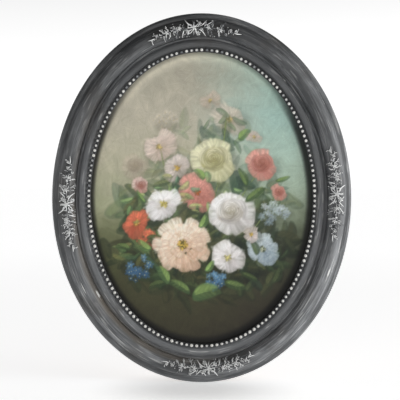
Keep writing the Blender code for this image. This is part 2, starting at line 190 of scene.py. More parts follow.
@dataclass(frozen=True)
class Section:
    """The cross-section of the wood, as lines out from the sight edge and heights off the wall."""

    seat_width: float = 0.0058
    seat_height: float = 0.0120
    ring_width: float = 0.0118
    ring_rise: float = 0.0038
    hollow_width: float = 0.0006
    hollow_height: float = 0.0112
    fillet_width: float = 0.0028
    fillet_height: float = 0.0124
    groove_width: float = 0.0010
    groove_height: float = 0.0098
    crown_width: float = 0.0232
    crown_foot: float = 0.0108
    crown_rise: float = 0.0104
    rim_width: float = 0.0084
    rim_side: float = 0.0080
    rim_crest: float = 0.0118
    back_chamfer: float = 0.0015
    rabbet_width: float = 0.0070
    rabbet_depth: float = 0.0090

    @property
    def hollow_line(self) -> float:
        """The middle of the hollow between ring and fillet."""
        return self.seat_width + self.ring_width + self.hollow_width / 2

    @property
    def fillet_line(self) -> float:
        """The inner edge of the fillet."""
        return self.seat_width + self.ring_width + self.hollow_width

    @property
    def groove_line(self) -> float:
        """The middle of the groove between fillet and crown."""
        return self.fillet_line + self.fillet_width + self.groove_width / 2

    @property
    def crown_line(self) -> float:
        """The middle of the crown."""
        return self.groove_line + self.groove_width / 2 + self.crown_width / 2

    @property
    def rim_line(self) -> float:
        """The inner foot of the rim."""
        return self.crown_line + self.crown_width / 2

    @property
    def width(self) -> float:
        """From the sight edge to the outer edge."""
        return self.rim_line + self.rim_width

    @staticmethod
    def _crest(start: float, width: float, feet: Spot, top: float) -> Array:
        """A rounded crest of two quarter ellipses between an inner and an outer foot."""
        turn = np.linspace(math.pi, 0.0, 41)
        foot = np.where(turn > math.pi / 2, feet[0], feet[1])
        out = start + width / 2 * (1.0 + np.cos(turn))
        return np.stack((out, foot + (top - foot) * np.sin(turn)), axis=-1)

    def corners(self) -> Array:
        """The closed outline as (out, height) rows, from the rabbet's edge over the front."""
        ring = self._crest(self.seat_width, self.ring_width, (self.seat_height, self.hollow_height),
                           self.seat_height + self.ring_rise)
        crown = self._crest(self.crown_line - self.crown_width / 2, self.crown_width,
                            (self.crown_foot, self.crown_foot), self.crown_foot + self.crown_rise)
        rim = self._crest(self.rim_line, self.rim_width, (self.crown_foot, self.rim_side), self.rim_crest)
        inner = [(0.0, self.rabbet_depth), (0.0, self.seat_height)]
        fillet_end = self.fillet_line + self.fillet_width
        middle = [
            (self.hollow_line, self.hollow_height),
            (self.fillet_line, self.fillet_height),
            (fillet_end, self.fillet_height),
            (self.groove_line, self.groove_height),
        ]
        outer = [
            (self.width, self.back_chamfer),
            (self.width - self.back_chamfer, 0.0),
            (self.rabbet_width, 0.0),
            (self.rabbet_width, self.rabbet_depth),
        ]
        return np.concatenate((inner, ring, middle, crown, rim, outer))

    def outline(self, count: int, ease: float) -> tuple[Array, Array]:
        """The outline with its corners eased, as points that crowd where it turns.

        The outline is walked in equal steps and averaged with a rounded weight, as sanding and
        paint ease a corner. Each new point then stands for an equal share of length plus turning.

        Args:
            count: Number of points.
            ease: How far a corner is rounded.

        Returns:
            Points (count, 2), and the distance along the outline at each of them.
        """
        corners = self.corners()
        closed = np.concatenate((corners, corners[:1]))
        steps = np.hypot(*np.diff(closed, axis=0).T)
        walked = np.concatenate(([0.0], np.cumsum(steps)))
        fine = 6000
        front_pitch, back_pitch, turning_worth = 0.0011, 0.006, 2.2
        spots = np.linspace(0.0, walked[-1], fine, endpoint=False)
        dense = read_rows(spots, walked, closed)
        away = np.minimum(np.arange(fine), fine - np.arange(fine)) * walked[-1] / fine
        weight = hill(away, ease)
        weight /= weight.sum()
        eased = np.fft.ifft(np.fft.fft(dense, axis=0) * np.fft.fft(weight)[:, None], axis=0).real
        step = np.roll(eased, -1, axis=0) - eased
        way = np.unwrap(np.arctan2(step[:, 1], step[:, 0]))
        turning = np.abs(np.diff(way, append=way[:1] + way[-1] - way[0]))
        turning = np.minimum(turning, 0.5)
        front = eased[:, 1] > self.rabbet_depth * 0.5
        worth = np.hypot(*step.T) / np.where(front, front_pitch, back_pitch) + turning * turning_worth
        earned = np.concatenate(([0.0], np.cumsum(worth)))
        wanted = np.linspace(0.0, earned[-1], count, endpoint=False)
        at = np.interp(wanted, earned, np.arange(fine + 1))
        wrapped = np.concatenate((eased, eased[:1]))
        return read_rows(at, np.arange(fine + 1), wrapped), at * walked[-1] / fine


OVAL = Oval()
SECTION = Section()


class Draft:
    """Points, faces and point values of one piece, gathered as arrays before its mesh is made."""

    def __init__(self, name: str) -> None:
        """Starts an empty draft with the piece's name."""
        self.name = name
        self.points: list[Array] = []
        self.faces: list[Array] = []
        self.values: list[dict[str, Array]] = []
        self.count = 0

    def add_points(self, points: Array, values: dict[str, Array] | None = None) -> Array:
        """Adds points with their values.

        Args:
            points: Any array whose last axis is three.
            values: Values by name, each a number or a row for every point.

        Returns:
            The new points' numbers, in the shape of the points.
        """
        shape = points.shape[:-1]
        size = int(np.prod(shape))
        self.points.append(points.reshape(size, 3))
        rows = {}
        for name, value in (values or {}).items():
            wide = value.shape[len(shape):]
            rows[name] = value.reshape((size, *wide))
        self.values.append(rows)
        numbers = np.arange(self.count, self.count + size).reshape(shape)
        self.count += size
        return numbers

    def add_grid(self, numbers: Array, wrap_rows: bool = False, wrap_columns: bool = False) -> None:
        """Joins a grid of point numbers with four-sided faces.

        Args:
            numbers: Point numbers in rows and columns.
            wrap_rows: Whether the last row joins the first.
            wrap_columns: Whether the last column joins the first.
        """
        if wrap_rows:
            numbers = np.concatenate((numbers, numbers[:1]), axis=0)
        if wrap_columns:
            numbers = np.concatenate((numbers, numbers[:, :1]), axis=1)
        corners = (numbers[:-1, :-1], numbers[1:, :-1], numbers[1:, 1:], numbers[:-1, 1:])
        self.faces.append(np.stack(corners, axis=-1).reshape(-1, 4))

    def add_fan(self, ring: Array, pole: int) -> None:
        """Closes a ring of point numbers with three-sided faces about one point."""
        after = np.roll(ring, -1)
        self.faces.append(np.stack((ring, after, np.full_like(ring, pole)), axis=-1))

    def add_tube(self, points: Array, values: dict[str, Array] | None = None) -> None:
        """Adds a closed form: rings of points from one end to the other, and a pole at each end.

        Args:
            points: Points (rings, sides, 3).
            values: Values (rings, sides) by name.
        """
        numbers = self.add_points(points, values)
        self.add_grid(numbers, wrap_columns=True)
        for end in (0, -1):
            pole = {name: value[end].mean(axis=0)[None] for name, value in (values or {}).items()}
            number = self.add_points(points[end].mean(axis=0)[None], pole)
            self.add_fan(numbers[end], int(number[0]))

    def _arrays(self) -> tuple[Array, Array, Array]:
        """All points, all face corners, and where each face starts among the corners."""
        corners = np.concatenate([faces.ravel() for faces in self.faces])
        sizes = np.concatenate([np.full(len(faces), faces.shape[1]) for faces in self.faces])
        starts = np.concatenate(([0], np.cumsum(sizes)[:-1]))
        return np.concatenate(self.points), corners, starts

    def _add_values(self, mesh: bpy.types.Mesh) -> None:
        """Puts the named values on the mesh's points, with zero where a part has none."""
        kinds = {1: ("FLOAT", "value"), 3: ("FLOAT_VECTOR", "vector"), 4: ("FLOAT_COLOR", "color")}
        names = sorted({name for rows in self.values for name in rows})
        for name in names:
            given = next(rows[name] for rows in self.values if name in rows)
            wide = given.shape[1:]
            kind, key = kinds[wide[0] if wide else 1]
            parts = [
                rows.get(name, np.zeros((len(points), *wide)))
                for rows, points in zip(self.values, self.points)
            ]
            layer = mesh.attributes.new(name, kind, "POINT")
            layer.data.foreach_set(key, np.concatenate(parts).astype(np.float32).ravel())

    def build(self, material: bpy.types.Material, sharp: float = 45.0) -> bpy.types.Object:
        """Makes the piece.

        Args:
            material: Its finish.
            sharp: Edges that turn by more than this many degrees stay sharp.

        Returns:
            The object, linked to the scene, with its faces pointing out.
        """
        points, corners, starts = self._arrays()
        mesh = bpy.data.meshes.new(self.name)
        mesh.vertices.add(len(points))
        mesh.vertices.foreach_set("co", points.astype(np.float32).ravel())
        mesh.loops.add(len(corners))
        mesh.loops.foreach_set("vertex_index", corners.astype(np.int32))
        mesh.polygons.add(len(starts))
        mesh.polygons.foreach_set("loop_start", starts.astype(np.int32))
        mesh.update(calc_edges=True)
        mesh.validate()
        self._add_values(mesh)
        face_out(mesh)
        mesh.shade_smooth()
        mesh.set_sharp_from_angle(angle=math.radians(sharp))
        mesh.materials.append(material)
        piece = bpy.data.objects.new(self.name, mesh)
        bpy.context.scene.collection.objects.link(piece)
        return piece


def face_out(mesh: bpy.types.Mesh) -> None:
    """Turns the faces of every closed form in a mesh outwards."""
    shell = bmesh.new()
    shell.from_mesh(mesh)
    bmesh.ops.recalc_face_normals(shell, faces=shell.faces)
    shell.to_mesh(mesh)
    shell.free()


def report(piece: bpy.types.Object, nodes: tuple[str, ...]) -> None:
    """Gives a piece its body, hides the solids that it stands for, and logs it."""
    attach(piece, "root")
    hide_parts(*nodes)
    mesh = piece.data
    threes = sum(len(face.vertices) - 2 for face in mesh.polygons)
    LOG.info("%s: %d points, %d triangles", piece.name, len(mesh.vertices), threes)


def dress_solid(name: str, material: bpy.types.Material) -> None:
    """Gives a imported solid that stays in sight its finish."""
    for place in bpy.data.objects[name].material_slots:
        place.material = material


class Value:
    """A socket that carries a number, so that shader maths reads as Python."""

    def __init__(self, nodes: "Nodes", socket: bpy.types.NodeSocket) -> None:
        """Wraps a socket of one material's nodes."""
        self.nodes = nodes
        self.socket = socket

    def _math(self, operation: str, first: object, second: object) -> "Value":
        """Adds a Math node on two values."""
        node = self.nodes.add("ShaderNodeMath", {"operation": operation}, {0: first, 1: second})
        return Value(self.nodes, node.outputs[0])

    def __add__(self, other: "Value | float") -> "Value":
        """This value plus another."""
        return self._math("ADD", self, other)

    def __radd__(self, other: float) -> "Value":
        """A number plus this value."""
        return self._math("ADD", other, self)

    def __sub__(self, other: "Value | float") -> "Value":
        """This value less another."""
        return self._math("SUBTRACT", self, other)

    def __rsub__(self, other: float) -> "Value":
        """A number less this value."""
        return self._math("SUBTRACT", other, self)

    def __mul__(self, other: "Value | float") -> "Value":
        """This value times another."""
        return self._math("MULTIPLY", self, other)

    def __rmul__(self, other: float) -> "Value":
        """A number times this value."""
        return self._math("MULTIPLY", other, self)

    def at_least(self, other: "Value | float") -> "Value":
        """The larger of this value and another."""
        return self._math("MAXIMUM", self, other)

    def sine(self) -> "Value":
        """The sine of this value, taken as radians."""
        return self._math("SINE", self, 0.0)

    def step(self, low: float, high: float) -> "Value":
        """Goes smoothly from 0 to 1 as the value goes from low to high."""
        node = self.nodes.add(
            "ShaderNodeMapRange",
            {"interpolation_type": "SMOOTHSTEP"},
            {"Value": self, "From Min": low, "From Max": high},
        )
        return Value(self.nodes, node.outputs[0])


class Nodes:
    """The nodes of one finish."""

    def __init__(self, owner: bpy.types.Material | bpy.types.World) -> None:
        """Starts with no nodes."""
        self.owner = owner
        owner.use_nodes = True
        self.tree = owner.node_tree
        self.tree.nodes.clear()

    def add(self, kind: str, settings: dict | None = None, values: dict | None = None) -> bpy.types.Node:
        """Adds a node.

        Args:
            kind: The node's type.
            settings: Its settings, which are set first.
            values: Numbers, colours, sockets or Values for its sockets, by name or place.

        Returns:
            The node.
        """
        node = self.tree.nodes.new(kind)
        for name, setting in (settings or {}).items():
            setattr(node, name, setting)
        for key, value in (values or {}).items():
            given = value.socket if isinstance(value, Value) else value
            if isinstance(given, bpy.types.NodeSocket):
                self.tree.links.new(given, node.inputs[key])
            else:
                node.inputs[key].default_value = given
        return node

    def mix(self, share: Value | float, first: object, second: object) -> bpy.types.NodeSocket:
        """Mixes two colours, which a Mix node takes on its sockets 6 and 7.

        Args:
            share: Share of the second colour.
            first: Colour or socket.
            second: Colour or socket.

        Returns:
            The mixed colour's socket.
        """
        settings = {"data_type": "RGBA", "clamp_factor": True}
        return self.add("ShaderNodeMix", settings, {0: share, 6: first, 7: second}).outputs[2]

    def value(self, name: str) -> Value:
        """A number kept on the piece's points."""
        node = self.add("ShaderNodeAttribute", {"attribute_name": name})
        return Value(self, node.outputs["Fac"])

    def vector(self, name: str) -> bpy.types.NodeSocket:
        """A vector or colour kept on the piece's points."""
        return self.add("ShaderNodeAttribute", {"attribute_name": name}).outputs["Vector"]

    def place(self) -> bpy.types.NodeSocket:
        """The place in the object's own frame."""
        return self.add("ShaderNodeTexCoord").outputs["Object"]

    def axes(self, vector: bpy.types.NodeSocket) -> list[Value]:
        """The three numbers of a vector."""
        parts = self.add("ShaderNodeSeparateXYZ", {}, {0: vector})
        return [Value(self, socket) for socket in parts.outputs]

    def length(self, vector: bpy.types.NodeSocket) -> Value:
        """How long a vector is."""
        node = self.add("ShaderNodeVectorMath", {"operation": "LENGTH"}, {0: vector})
        return Value(self, node.outputs["Value"])

    def noise(
        self,
        place: bpy.types.NodeSocket,
        scale: float | tuple[float, float, float],
        detail: float = 3.0,
        rough: float = 0.55,
        warp: float = 0.0,
    ) -> Value:
        """A noise pattern.

        Args:
            place: Where it is read.
            scale: How many of its cells fit in a metre, for all axes or for each.
            detail: Number of finer layers.
            rough: Strength of the finer layers.
            warp: How far the pattern is bent by itself.

        Returns:
            The pattern, about 0.5.
        """
        cells = scale if isinstance(scale, tuple) else (scale, scale, scale)
        mapped = self.add("ShaderNodeMapping", {}, {"Vector": place, "Scale": cells}).outputs[0]
        values = {"Vector": mapped, "Scale": 1.0, "Detail": detail, "Roughness": rough, "Distortion": warp}
        return Value(self, self.add("ShaderNodeTexNoise", {}, values).outputs[0])

    def bump(self, height: Value, depth: float, strength: float = 1.0) -> bpy.types.NodeSocket:
        """A surface normal bent by a height pattern, whose full step is depth metres."""
        values = {"Height": height, "Distance": depth, "Strength": strength}
        return self.add("ShaderNodeBump", {}, values).outputs[0]

    def surface(self, values: dict) -> bpy.types.Material:
        """Ends the finish with one physically based shader, and gives the finish back."""
        shader = self.add("ShaderNodeBsdfPrincipled", {}, values)
        self.add("ShaderNodeOutputMaterial", {}, {"Surface": shader.outputs[0]})
        return self.owner


@dataclass(frozen=True)
class FramePaint:
    """Satin blue-grey paint, dry-brushed along the oval, over turned brown wood."""

    dark: tuple = paint_colour(60, 62, 64)
    light: tuple = paint_colour(137, 139, 141)
    warm: tuple = paint_colour(66, 60, 52)
    earth: tuple = paint_colour(104, 94, 80)
    # The darkest grey, for the darker recesses and for painted shade.
    hollow: tuple = paint_colour(36, 35, 34)
    scuff: tuple = paint_colour(226, 226, 222)
    wood: tuple = paint_colour(148, 112, 76)
    wood_dark: tuple = paint_colour(98, 68, 42)

    def make(self) -> bpy.types.Material:
        """Makes the finish from the points' attributes: the paint, and its painted shade and light."""
        nodes = Nodes(bpy.data.materials.new("grey_paint_brushed"))
        grain = nodes.vector("along_grain")
        place = nodes.place()
        broad = nodes.noise(grain, (9.0, 9.0, 120.0), 3.0, 0.55, 0.5)
        cloud = nodes.noise(grain, (16.0, 16.0, 60.0), 3.0, 0.55, 0.8)
        fine = nodes.noise(grain, (22.0, 22.0, 380.0), 4.0, 0.62, 0.25)
        scratch = nodes.noise(grain, (26.0, 26.0, 460.0), 1.0, 0.5, 0.15)
        patch = nodes.noise(place, 14.0, 3.0, 0.5, 0.6)
        speck = nodes.noise(place, 420.0, 2.0, 0.6)
        # The rubbed amount is mostly painted light on the sides facing the light, with an even band along
        # the rim.
        rubbed = nodes.value("rubbed")
        brushed = broad.step(0.42, 0.68) * 0.30 + fine.step(0.48, 0.62) * 0.46
        brushed = brushed + cloud.step(0.45, 0.7) * 0.30
        even = nodes.value("even")
        brushed = brushed * (0.62 + 0.75 * rubbed) * (1.0 - 0.6 * even) + 0.34 * rubbed + 0.22 * even
        colour = nodes.mix(brushed, self.dark, self.light)
        colour = nodes.mix(patch.step(0.50, 0.72) * 0.40, colour, self.warm)
        earth = nodes.value("earth") * (0.35 + 1.1 * cloud)
        colour = nodes.mix(earth.step(0.0, 1.0) * 0.6, colour, self.earth)
        # The hollow amount is darker recesses, with painted shade about the sprays and on the upper side.
        hollow = nodes.value("hollow")
        colour = nodes.mix(hollow * (0.80 + 0.5 * (fine - 0.5)), colour, self.hollow)
        lines = scratch.step(0.60, 0.68) * cloud.step(0.42, 0.58) * (0.26 + 0.40 * rubbed)
        marks = nodes.value("scuff")
        worn = marks * (0.10 + 1.2 * scratch.step(0.48, 0.66)) * (0.5 + speck)
        scuff = worn.step(0.30, 1.10).at_least(lines * (1.0 - hollow))
        colour = nodes.mix(scuff * 0.75, colour, self.scuff)
        rings = nodes.noise(place, (9.0, 160.0, 160.0), 4.0, 0.6, 0.4)
        wood = nodes.mix(rings.step(0.35, 0.65), self.wood, self.wood_dark)
        bare = (nodes.value("bare") + 0.5 * (speck - 0.5)).step(0.42, 0.58)
        colour = nodes.mix(bare, colour, wood)
        rough = 0.44 + 0.16 * fine + 0.12 * hollow + 0.20 * bare
        relief = fine * 0.6 + speck * 0.25 + broad * 0.3
        return nodes.surface(
            {
                "Base Color": colour,
                "Roughness": rough,
                "Normal": nodes.bump(relief, 0.00022, 0.8),
                "Specular IOR Level": 0.42,
            }
        )


@dataclass(frozen=True)
class BrushedCasting:
    """Cast ornament in dark paint with its raised parts brushed white."""

    name: str
    white: tuple = paint_colour(236, 237, 236)
    grey: tuple = paint_colour(112, 115, 118)
    dark: tuple = paint_colour(38, 38, 39)
    spread: float = 0.12
    white_from: float = 0.34

    def make(self) -> bpy.types.Material:
        """Makes the finish, which reads brushed, from 0 in the hollows to 1 on top."""
        nodes = Nodes(bpy.data.materials.new(self.name))
        place = nodes.place()
        fine = nodes.noise(place, 900.0, 3.0, 0.6)
        patch = nodes.noise(place, 130.0, 2.0, 0.5)
        brushed = nodes.value("brushed") + self.spread * 2.0 * (fine - 0.5) + 0.5 * (patch - 0.5)
        colour = nodes.mix(brushed.step(0.10, 0.42), self.dark, self.grey)
        colour = nodes.mix(brushed.step(self.white_from, self.white_from + 0.28), colour, self.white)
        return nodes.surface(
            {
                "Base Color": colour,
                "Roughness": 0.50 + 0.2 * fine,
                "Normal": nodes.bump(fine, 0.00012, 0.7),
                "Specular IOR Level": 0.4,
            }
        )


@dataclass(frozen=True)
class OilPaint:
    """Oil paint brushed on canvas, with a low sheen."""

    weave_pace: float = 2300.0
    board: tuple = paint_colour(176, 160, 132)
    board_dark: tuple = paint_colour(150, 132, 104)

    def make(self) -> bpy.types.Material:
        """Makes the finish, which reads paint, stroke_place, relief and bare from the points.

        The weave is sin(x) * sin(z), where both turn by weave_pace radians in a metre.

        Returns:
            The finish.
        """
        nodes = Nodes(bpy.data.materials.new("oil_paint_on_canvas"))
        place = nodes.place()
        bristle = nodes.noise(nodes.vector("stroke_place"), (60.0, 1500.0, 900.0), 2.0, 0.5)
        wobble = nodes.noise(place, 60.0, 2.0) * 4.0
        across, _, up = nodes.axes(place)
        weave = (across * self.weave_pace + wobble).sine() * (up * self.weave_pace + wobble).sine()
        slub = nodes.noise(place, (1400.0, 1400.0, 90.0), 1.0)
        slub = slub + nodes.noise(place, (90.0, 1400.0, 1400.0), 1.0)
        bare = nodes.value("bare")
        uneven = 0.90 + 0.16 * bristle.step(0.3, 0.7) + 0.10 * (slub - 1.0)
        painted = nodes.add("ShaderNodeVectorMath", {"operation": "SCALE"},
                            {0: nodes.vector("paint"), "Scale": uneven}).outputs[0]
        board = nodes.mix(nodes.noise(place, 300.0).step(0.3, 0.7), self.board, self.board_dark)
        relief = nodes.value("relief") * 1.3 + bristle * 0.8 + weave * 0.28 + slub * 0.5
        return nodes.surface(
            {
                "Base Color": nodes.mix(bare, painted, board),
                "Roughness": 0.50 + 0.12 * bristle + 0.25 * bare,
                "Normal": nodes.bump(relief, 0.00012, 0.6),
                "Specular IOR Level": 0.35,
            }
        )


@dataclass(frozen=True)
class FibreBoard:
    """Plain brown fibre board with short lighter and darker fibres."""

    light: tuple = paint_colour(156, 118, 80)
    dark: tuple = paint_colour(112, 78, 50)

    def make(self) -> bpy.types.Material:
        """Makes the finish."""
        nodes = Nodes(bpy.data.materials.new("brown_fibre_board"))
        place = nodes.place()
        fibres = nodes.noise(place, (900.0, 900.0, 260.0), 3.0, 0.65, 1.2)
        cross = nodes.noise(place, (260.0, 900.0, 900.0), 3.0, 0.65, 1.2)
        patch = nodes.noise(place, 16.0, 3.0)
        share = fibres * 0.5 + cross * 0.5 + (patch - 0.5) * 0.7
        colour = nodes.mix(share.step(0.35, 0.65), self.dark, self.light)
        return nodes.surface(
            {
                "Base Color": colour,
                "Roughness": 0.70 + 0.2 * fibres,
                "Normal": nodes.bump(fibres + cross, 0.00010, 0.6),
                "Specular IOR Level": 0.25,
            }
        )


@dataclass(frozen=True)
class ZincSteel:
    """Thin zinc-plated steel, slightly blotched and rubbed."""

    bright: tuple = paint_colour(196, 198, 202)
    dull: tuple = paint_colour(140, 142, 146)

    def make(self) -> bpy.types.Material:
        """Makes the finish."""
        nodes = Nodes(bpy.data.materials.new("zinc_plated_steel"))
        place = nodes.place()
        blotch = nodes.noise(place, 240.0, 3.0, 0.6, 0.5)
        rubbed = nodes.noise(place, (150.0, 1800.0, 1800.0), 2.0, 0.6)
        colour = nodes.mix(blotch.step(0.35, 0.65), self.dull, self.bright)
        return nodes.surface(
            {
                "Base Color": colour,
                "Metallic": 1.0,
                "Roughness": 0.30 + 0.25 * blotch + 0.1 * rubbed,
                "Normal": nodes.bump(rubbed, 0.00005, 0.4),
            }
        )


class Side(Enum):
    """Each spray's side in degrees, how far anticlockwise of it it sits, and its painted light, greyer on
    top.
    """

    RIGHT = (0, 0.0060, 1.02)
    TOP = (90, 0.0105, 0.76)
    LEFT = (180, 0.0085, 1.08)
    BOTTOM = (270, 0.0095, 1.20)

    def __init__(self, degrees: int, drift: float, painted_side_light: float) -> None:
        """Names the three values."""
        self.degrees = degrees
        self.drift = drift
        self.painted_side_light = painted_side_light

    def angle(self, along: Array | float = 0.0) -> Array:
        """The angles at distances clockwise along the crown from the spray's middle."""
        return OVAL.angle_after(math.radians(self.degrees), self.drift - along, SECTION.crown_line)


@dataclass(frozen=True)
class Scuff:
    """A place on the moulding where the paint has been knocked or rubbed white."""

    angle: float
    out: float
    long: float
    wide: float
    strength: float = 1.0

    def amount(self, angle: Array, out: Array) -> Array:
        """How strong the scuff is: a rounded hill, long round the oval and wide across it."""
        along = turned_from(angle, math.radians(self.angle)) * (OVAL.mean_radius + self.out)
        return self.strength * hill(along, self.long) * hill(out - self.out, self.wide)


@dataclass(frozen=True)
class Band:
    """A tone along one line of the moulding, strongest where the oval faces a side."""

    strength: float
    line: float
    wide: float
    degrees: float = 0.0
    power: float = 0.0

    def amount(self, angle: Array, out: Array) -> Array:
        """A rounded hill across the line, times a power of how much the angle faces the side."""
        return self.strength * hill(out - self.line, self.wide) * facing(angle, self.degrees) ** self.power


@dataclass(frozen=True)
class Moulding:
    """The turned wooden oval, with the pocket for its hanger."""

    stations: int = 800
    profile_points: int = 100
    ease: float = 0.0017
    waver: float = 0.00012
    pocket_width: float = 0.054
    pocket_height: float = 0.0135
    pocket_depth: float = 0.0032
    bare_below: float = 0.0024
    bare_fade: float = 0.0012
    film: float = 0.0004
    # Painted shade about each spray: half its length, its fade and its width across.
    bed_half_length: float = 0.072
    bed_fade: float = 0.020
    bed_width: float = 0.0082
    # Painted shade: a thin band in the hollow, and bands low on the ring, most at the bottom and lower
    # right.
    painted_shade_bands: tuple[Band, ...] = (
        Band(0.04, SECTION.hollow_line, 0.0012),
        Band(0.34, SECTION.hollow_line - 0.0026, 0.0028, 320.0, 2.0),
        Band(0.16, SECTION.seat_width + SECTION.ring_width / 2, 0.0028, 280.0, 2.0),
    )
    # Lighter bands: the first even along the rim, the rest painted light to the right and lower right.
    rubbed_and_light_bands: tuple[Band, ...] = (
        Band(0.06, SECTION.rim_line, 0.0032),
        Band(0.35, SECTION.rim_line, 0.0032, -14.0, 2.0),
        Band(0.34, SECTION.crown_line - 0.0036, 0.0048, 318.0, 2.0),
        Band(0.30, SECTION.groove_line, 0.0030, 318.0, 2.0),
    )
    earth_bands: tuple[Band, ...] = (
        Band(0.05, SECTION.groove_line + 0.0022, 0.0046),
        Band(0.95, SECTION.groove_line + 0.0022, 0.0046, 228.0, 3.0),
    )
    scuffs: tuple[Scuff, ...] = (
        Scuff(48.3, 0.0185, 0.0042, 0.0016, 1.9),
        Scuff(39.4, 0.0500, 0.0100, 0.0022, 1.1),
        Scuff(32.9, 0.0470, 0.0090, 0.0018, 1.1),
        Scuff(24.7, 0.0520, 0.0080, 0.0020, 0.8),
        Scuff(215.9, 0.0233, 0.0048, 0.0017, 1.7),
        Scuff(211.2, 0.0366, 0.0100, 0.0013, 1.1),
        Scuff(218.5, 0.0347, 0.0070, 0.0014, 1.0),
        Scuff(335.2, 0.0400, 0.0080, 0.0022, 0.95),
        Scuff(338.5, 0.0450, 0.0070, 0.0020, 0.9),
        Scuff(145.7, 0.0480, 0.0220, 0.0014, 0.8),
        Scuff(151.2, 0.0353, 0.0140, 0.0030, 0.6),
        Scuff(114.2, 0.0196, 0.0200, 0.0012, 0.9),
        Scuff(234.1, 0.0433, 0.0160, 0.0018, 0.8),
        Scuff(300.7, 0.0212, 0.0160, 0.0014, 0.8),
        Scuff(262.0, 0.0490, 0.0180, 0.0016, 0.7),
        Scuff(4.0, 0.0300, 0.0120, 0.0012, 0.6),
    )

    def _darker_recesses_and_shade(self, angle: Array, out: Array) -> Array:
        """Darker in the seat and hollow, and as painted shade low on the ring and about the sprays."""
        amount = 0.3 * smooth((SECTION.seat_width - out) / 0.0016) + 0.6 * smooth((0.0032 - out) / 0.002)
        amount = amount + sum(band.amount(angle, out) for band in self.painted_shade_bands)
        for side in Side:
            reach = (OVAL.half_width, OVAL.half_height)[side.degrees % 180 == 0] + SECTION.crown_line
            off = np.abs(turned_from(angle, side.angle())) * reach
            bed = smooth((self.bed_half_length - off) / self.bed_fade)
            amount = amount + 0.50 * bed * hill(out - SECTION.crown_line, self.bed_width)
        return np.clip(amount, 0.0, 1.0)

    def _rubbed_and_painted_light(self, angle: Array, out: Array) -> Array:
        """How much lighter, mostly as painted light: most on the right of the rim, and below on the ring.

        The shares of the rim and the ring are smooth steps at the crown's middle and on the ring's
        outer side. The way round each is a power of how much the angle faces its lightest place.

        Args:
            angle: Angle round the oval.
            out: Distance outside the sight edge.

        Returns:
            The amount, 0 where the paint is left as it is.
        """
        outer = smooth((out - SECTION.crown_line + 0.004) / 0.012)
        left = facing(angle, 222.0) ** 3
        amount = outer * (0.84 * facing(angle, -14.0) ** 5 + 0.34 * left)
        amount = amount + (1.0 - outer) * (0.36 * left + 0.20 * facing(angle, 285.0))
        amount = amount + 0.34 * self._on_ring(out) * facing(angle, 250.0) ** 0.7
        return amount + sum(band.amount(angle, out) for band in self.rubbed_and_light_bands)

    @staticmethod
    def _on_ring(out: Array) -> Array:
        """The share of the ring: a smooth step down across its outer side."""
        return 1.0 - smooth((out - SECTION.seat_width - 0.0072) / 0.0060)

    def _painted_shade_by_side(self, angle: Array, out: Array) -> Array:
        """How much darker the paint is, as painted shade: above on all the lines, and below on the rim."""
        crown = smooth((out - SECTION.groove_line - 0.0015) / 0.0045)
        outer = smooth((out - SECTION.crown_line - 0.004) / 0.008)
        above = 0.10 + 0.40 * crown + 0.10 * outer + 0.36 * self._on_ring(out)
        foot = 0.22 * smooth((out - SECTION.rim_line + 0.004) / 0.006)
        return above * facing(angle, 98.0) ** 2 + foot * facing(angle, 276.0) ** 3

    def build(self, material: bpy.types.Material) -> bpy.types.Object:
        """Sweeps the eased outline round the oval and cuts the hanger's pocket.

        A slow waver of a tenth of a millimetre keeps the turned lines from being too true.

        Args:
            material: The painted finish.

        Returns:
            The moulding.
        """
        points, walked = SECTION.outline(self.profile_points, self.ease)
        distance = np.linspace(0.0, OVAL.length(SECTION.crown_line), self.stations, endpoint=False)
        angle = OVAL.angle_after(0.0, distance, SECTION.crown_line)[:, None]
        out = np.broadcast_to(points[:, 0], (self.stations, len(points)))
        height = np.broadcast_to(points[:, 1], out.shape)
        front = smooth((height - SECTION.rabbet_depth) / 0.003)
        uneven = np.sin(5.0 * angle + 1.0) + 0.6 * np.sin(11.0 * angle + out * 260.0)
        height = height - self.waver * (1.0 + 0.5 * uneven) * front
        place = OVAL.place(angle, out, height)
        turn = FULL_TURN * OVAL.share_round(angle, SECTION.crown_line)
        radius = OVAL.length(SECTION.crown_line) / FULL_TURN
        grain = np.broadcast_arrays(radius * np.cos(turn), radius * np.sin(turn), walked[None, :])
        back = smooth((self.bare_below - height) / self.bare_fade)
        under = smooth((SECTION.rabbet_width + self.film / 2 - out) / self.film)
        under = under * smooth((SECTION.rabbet_depth + self.film - height) / self.film)
        scuffs = sum(scuff.amount(angle, out) for scuff in self.scuffs) * front
        # Painted shade: the hollow value adds darker recesses, shade about the sprays and shade by side.
        hollows = self._darker_recesses_and_shade(angle, out) * smooth((height - 0.008) / 0.002)
        draft = Draft("moulding_wood")
        numbers = draft.add_points(
            place,
            {
                "along_grain": np.stack(grain, axis=-1),
                "hollow": np.clip(hollows + self._painted_shade_by_side(angle, out), 0.0, 1.0) * front,
                "scuff": scuffs,
                # Mostly painted light by side, with an even band on the rim.
                "rubbed": self._rubbed_and_painted_light(angle, out),
                "even": self._on_ring(out),
                "earth": sum(band.amount(angle, out) for band in self.earth_bands),
                "bare": np.maximum(back, under),
            },
        )
        draft.add_grid(numbers, wrap_rows=True, wrap_columns=True)
        return self._with_pocket(draft.build(material, 60.0))

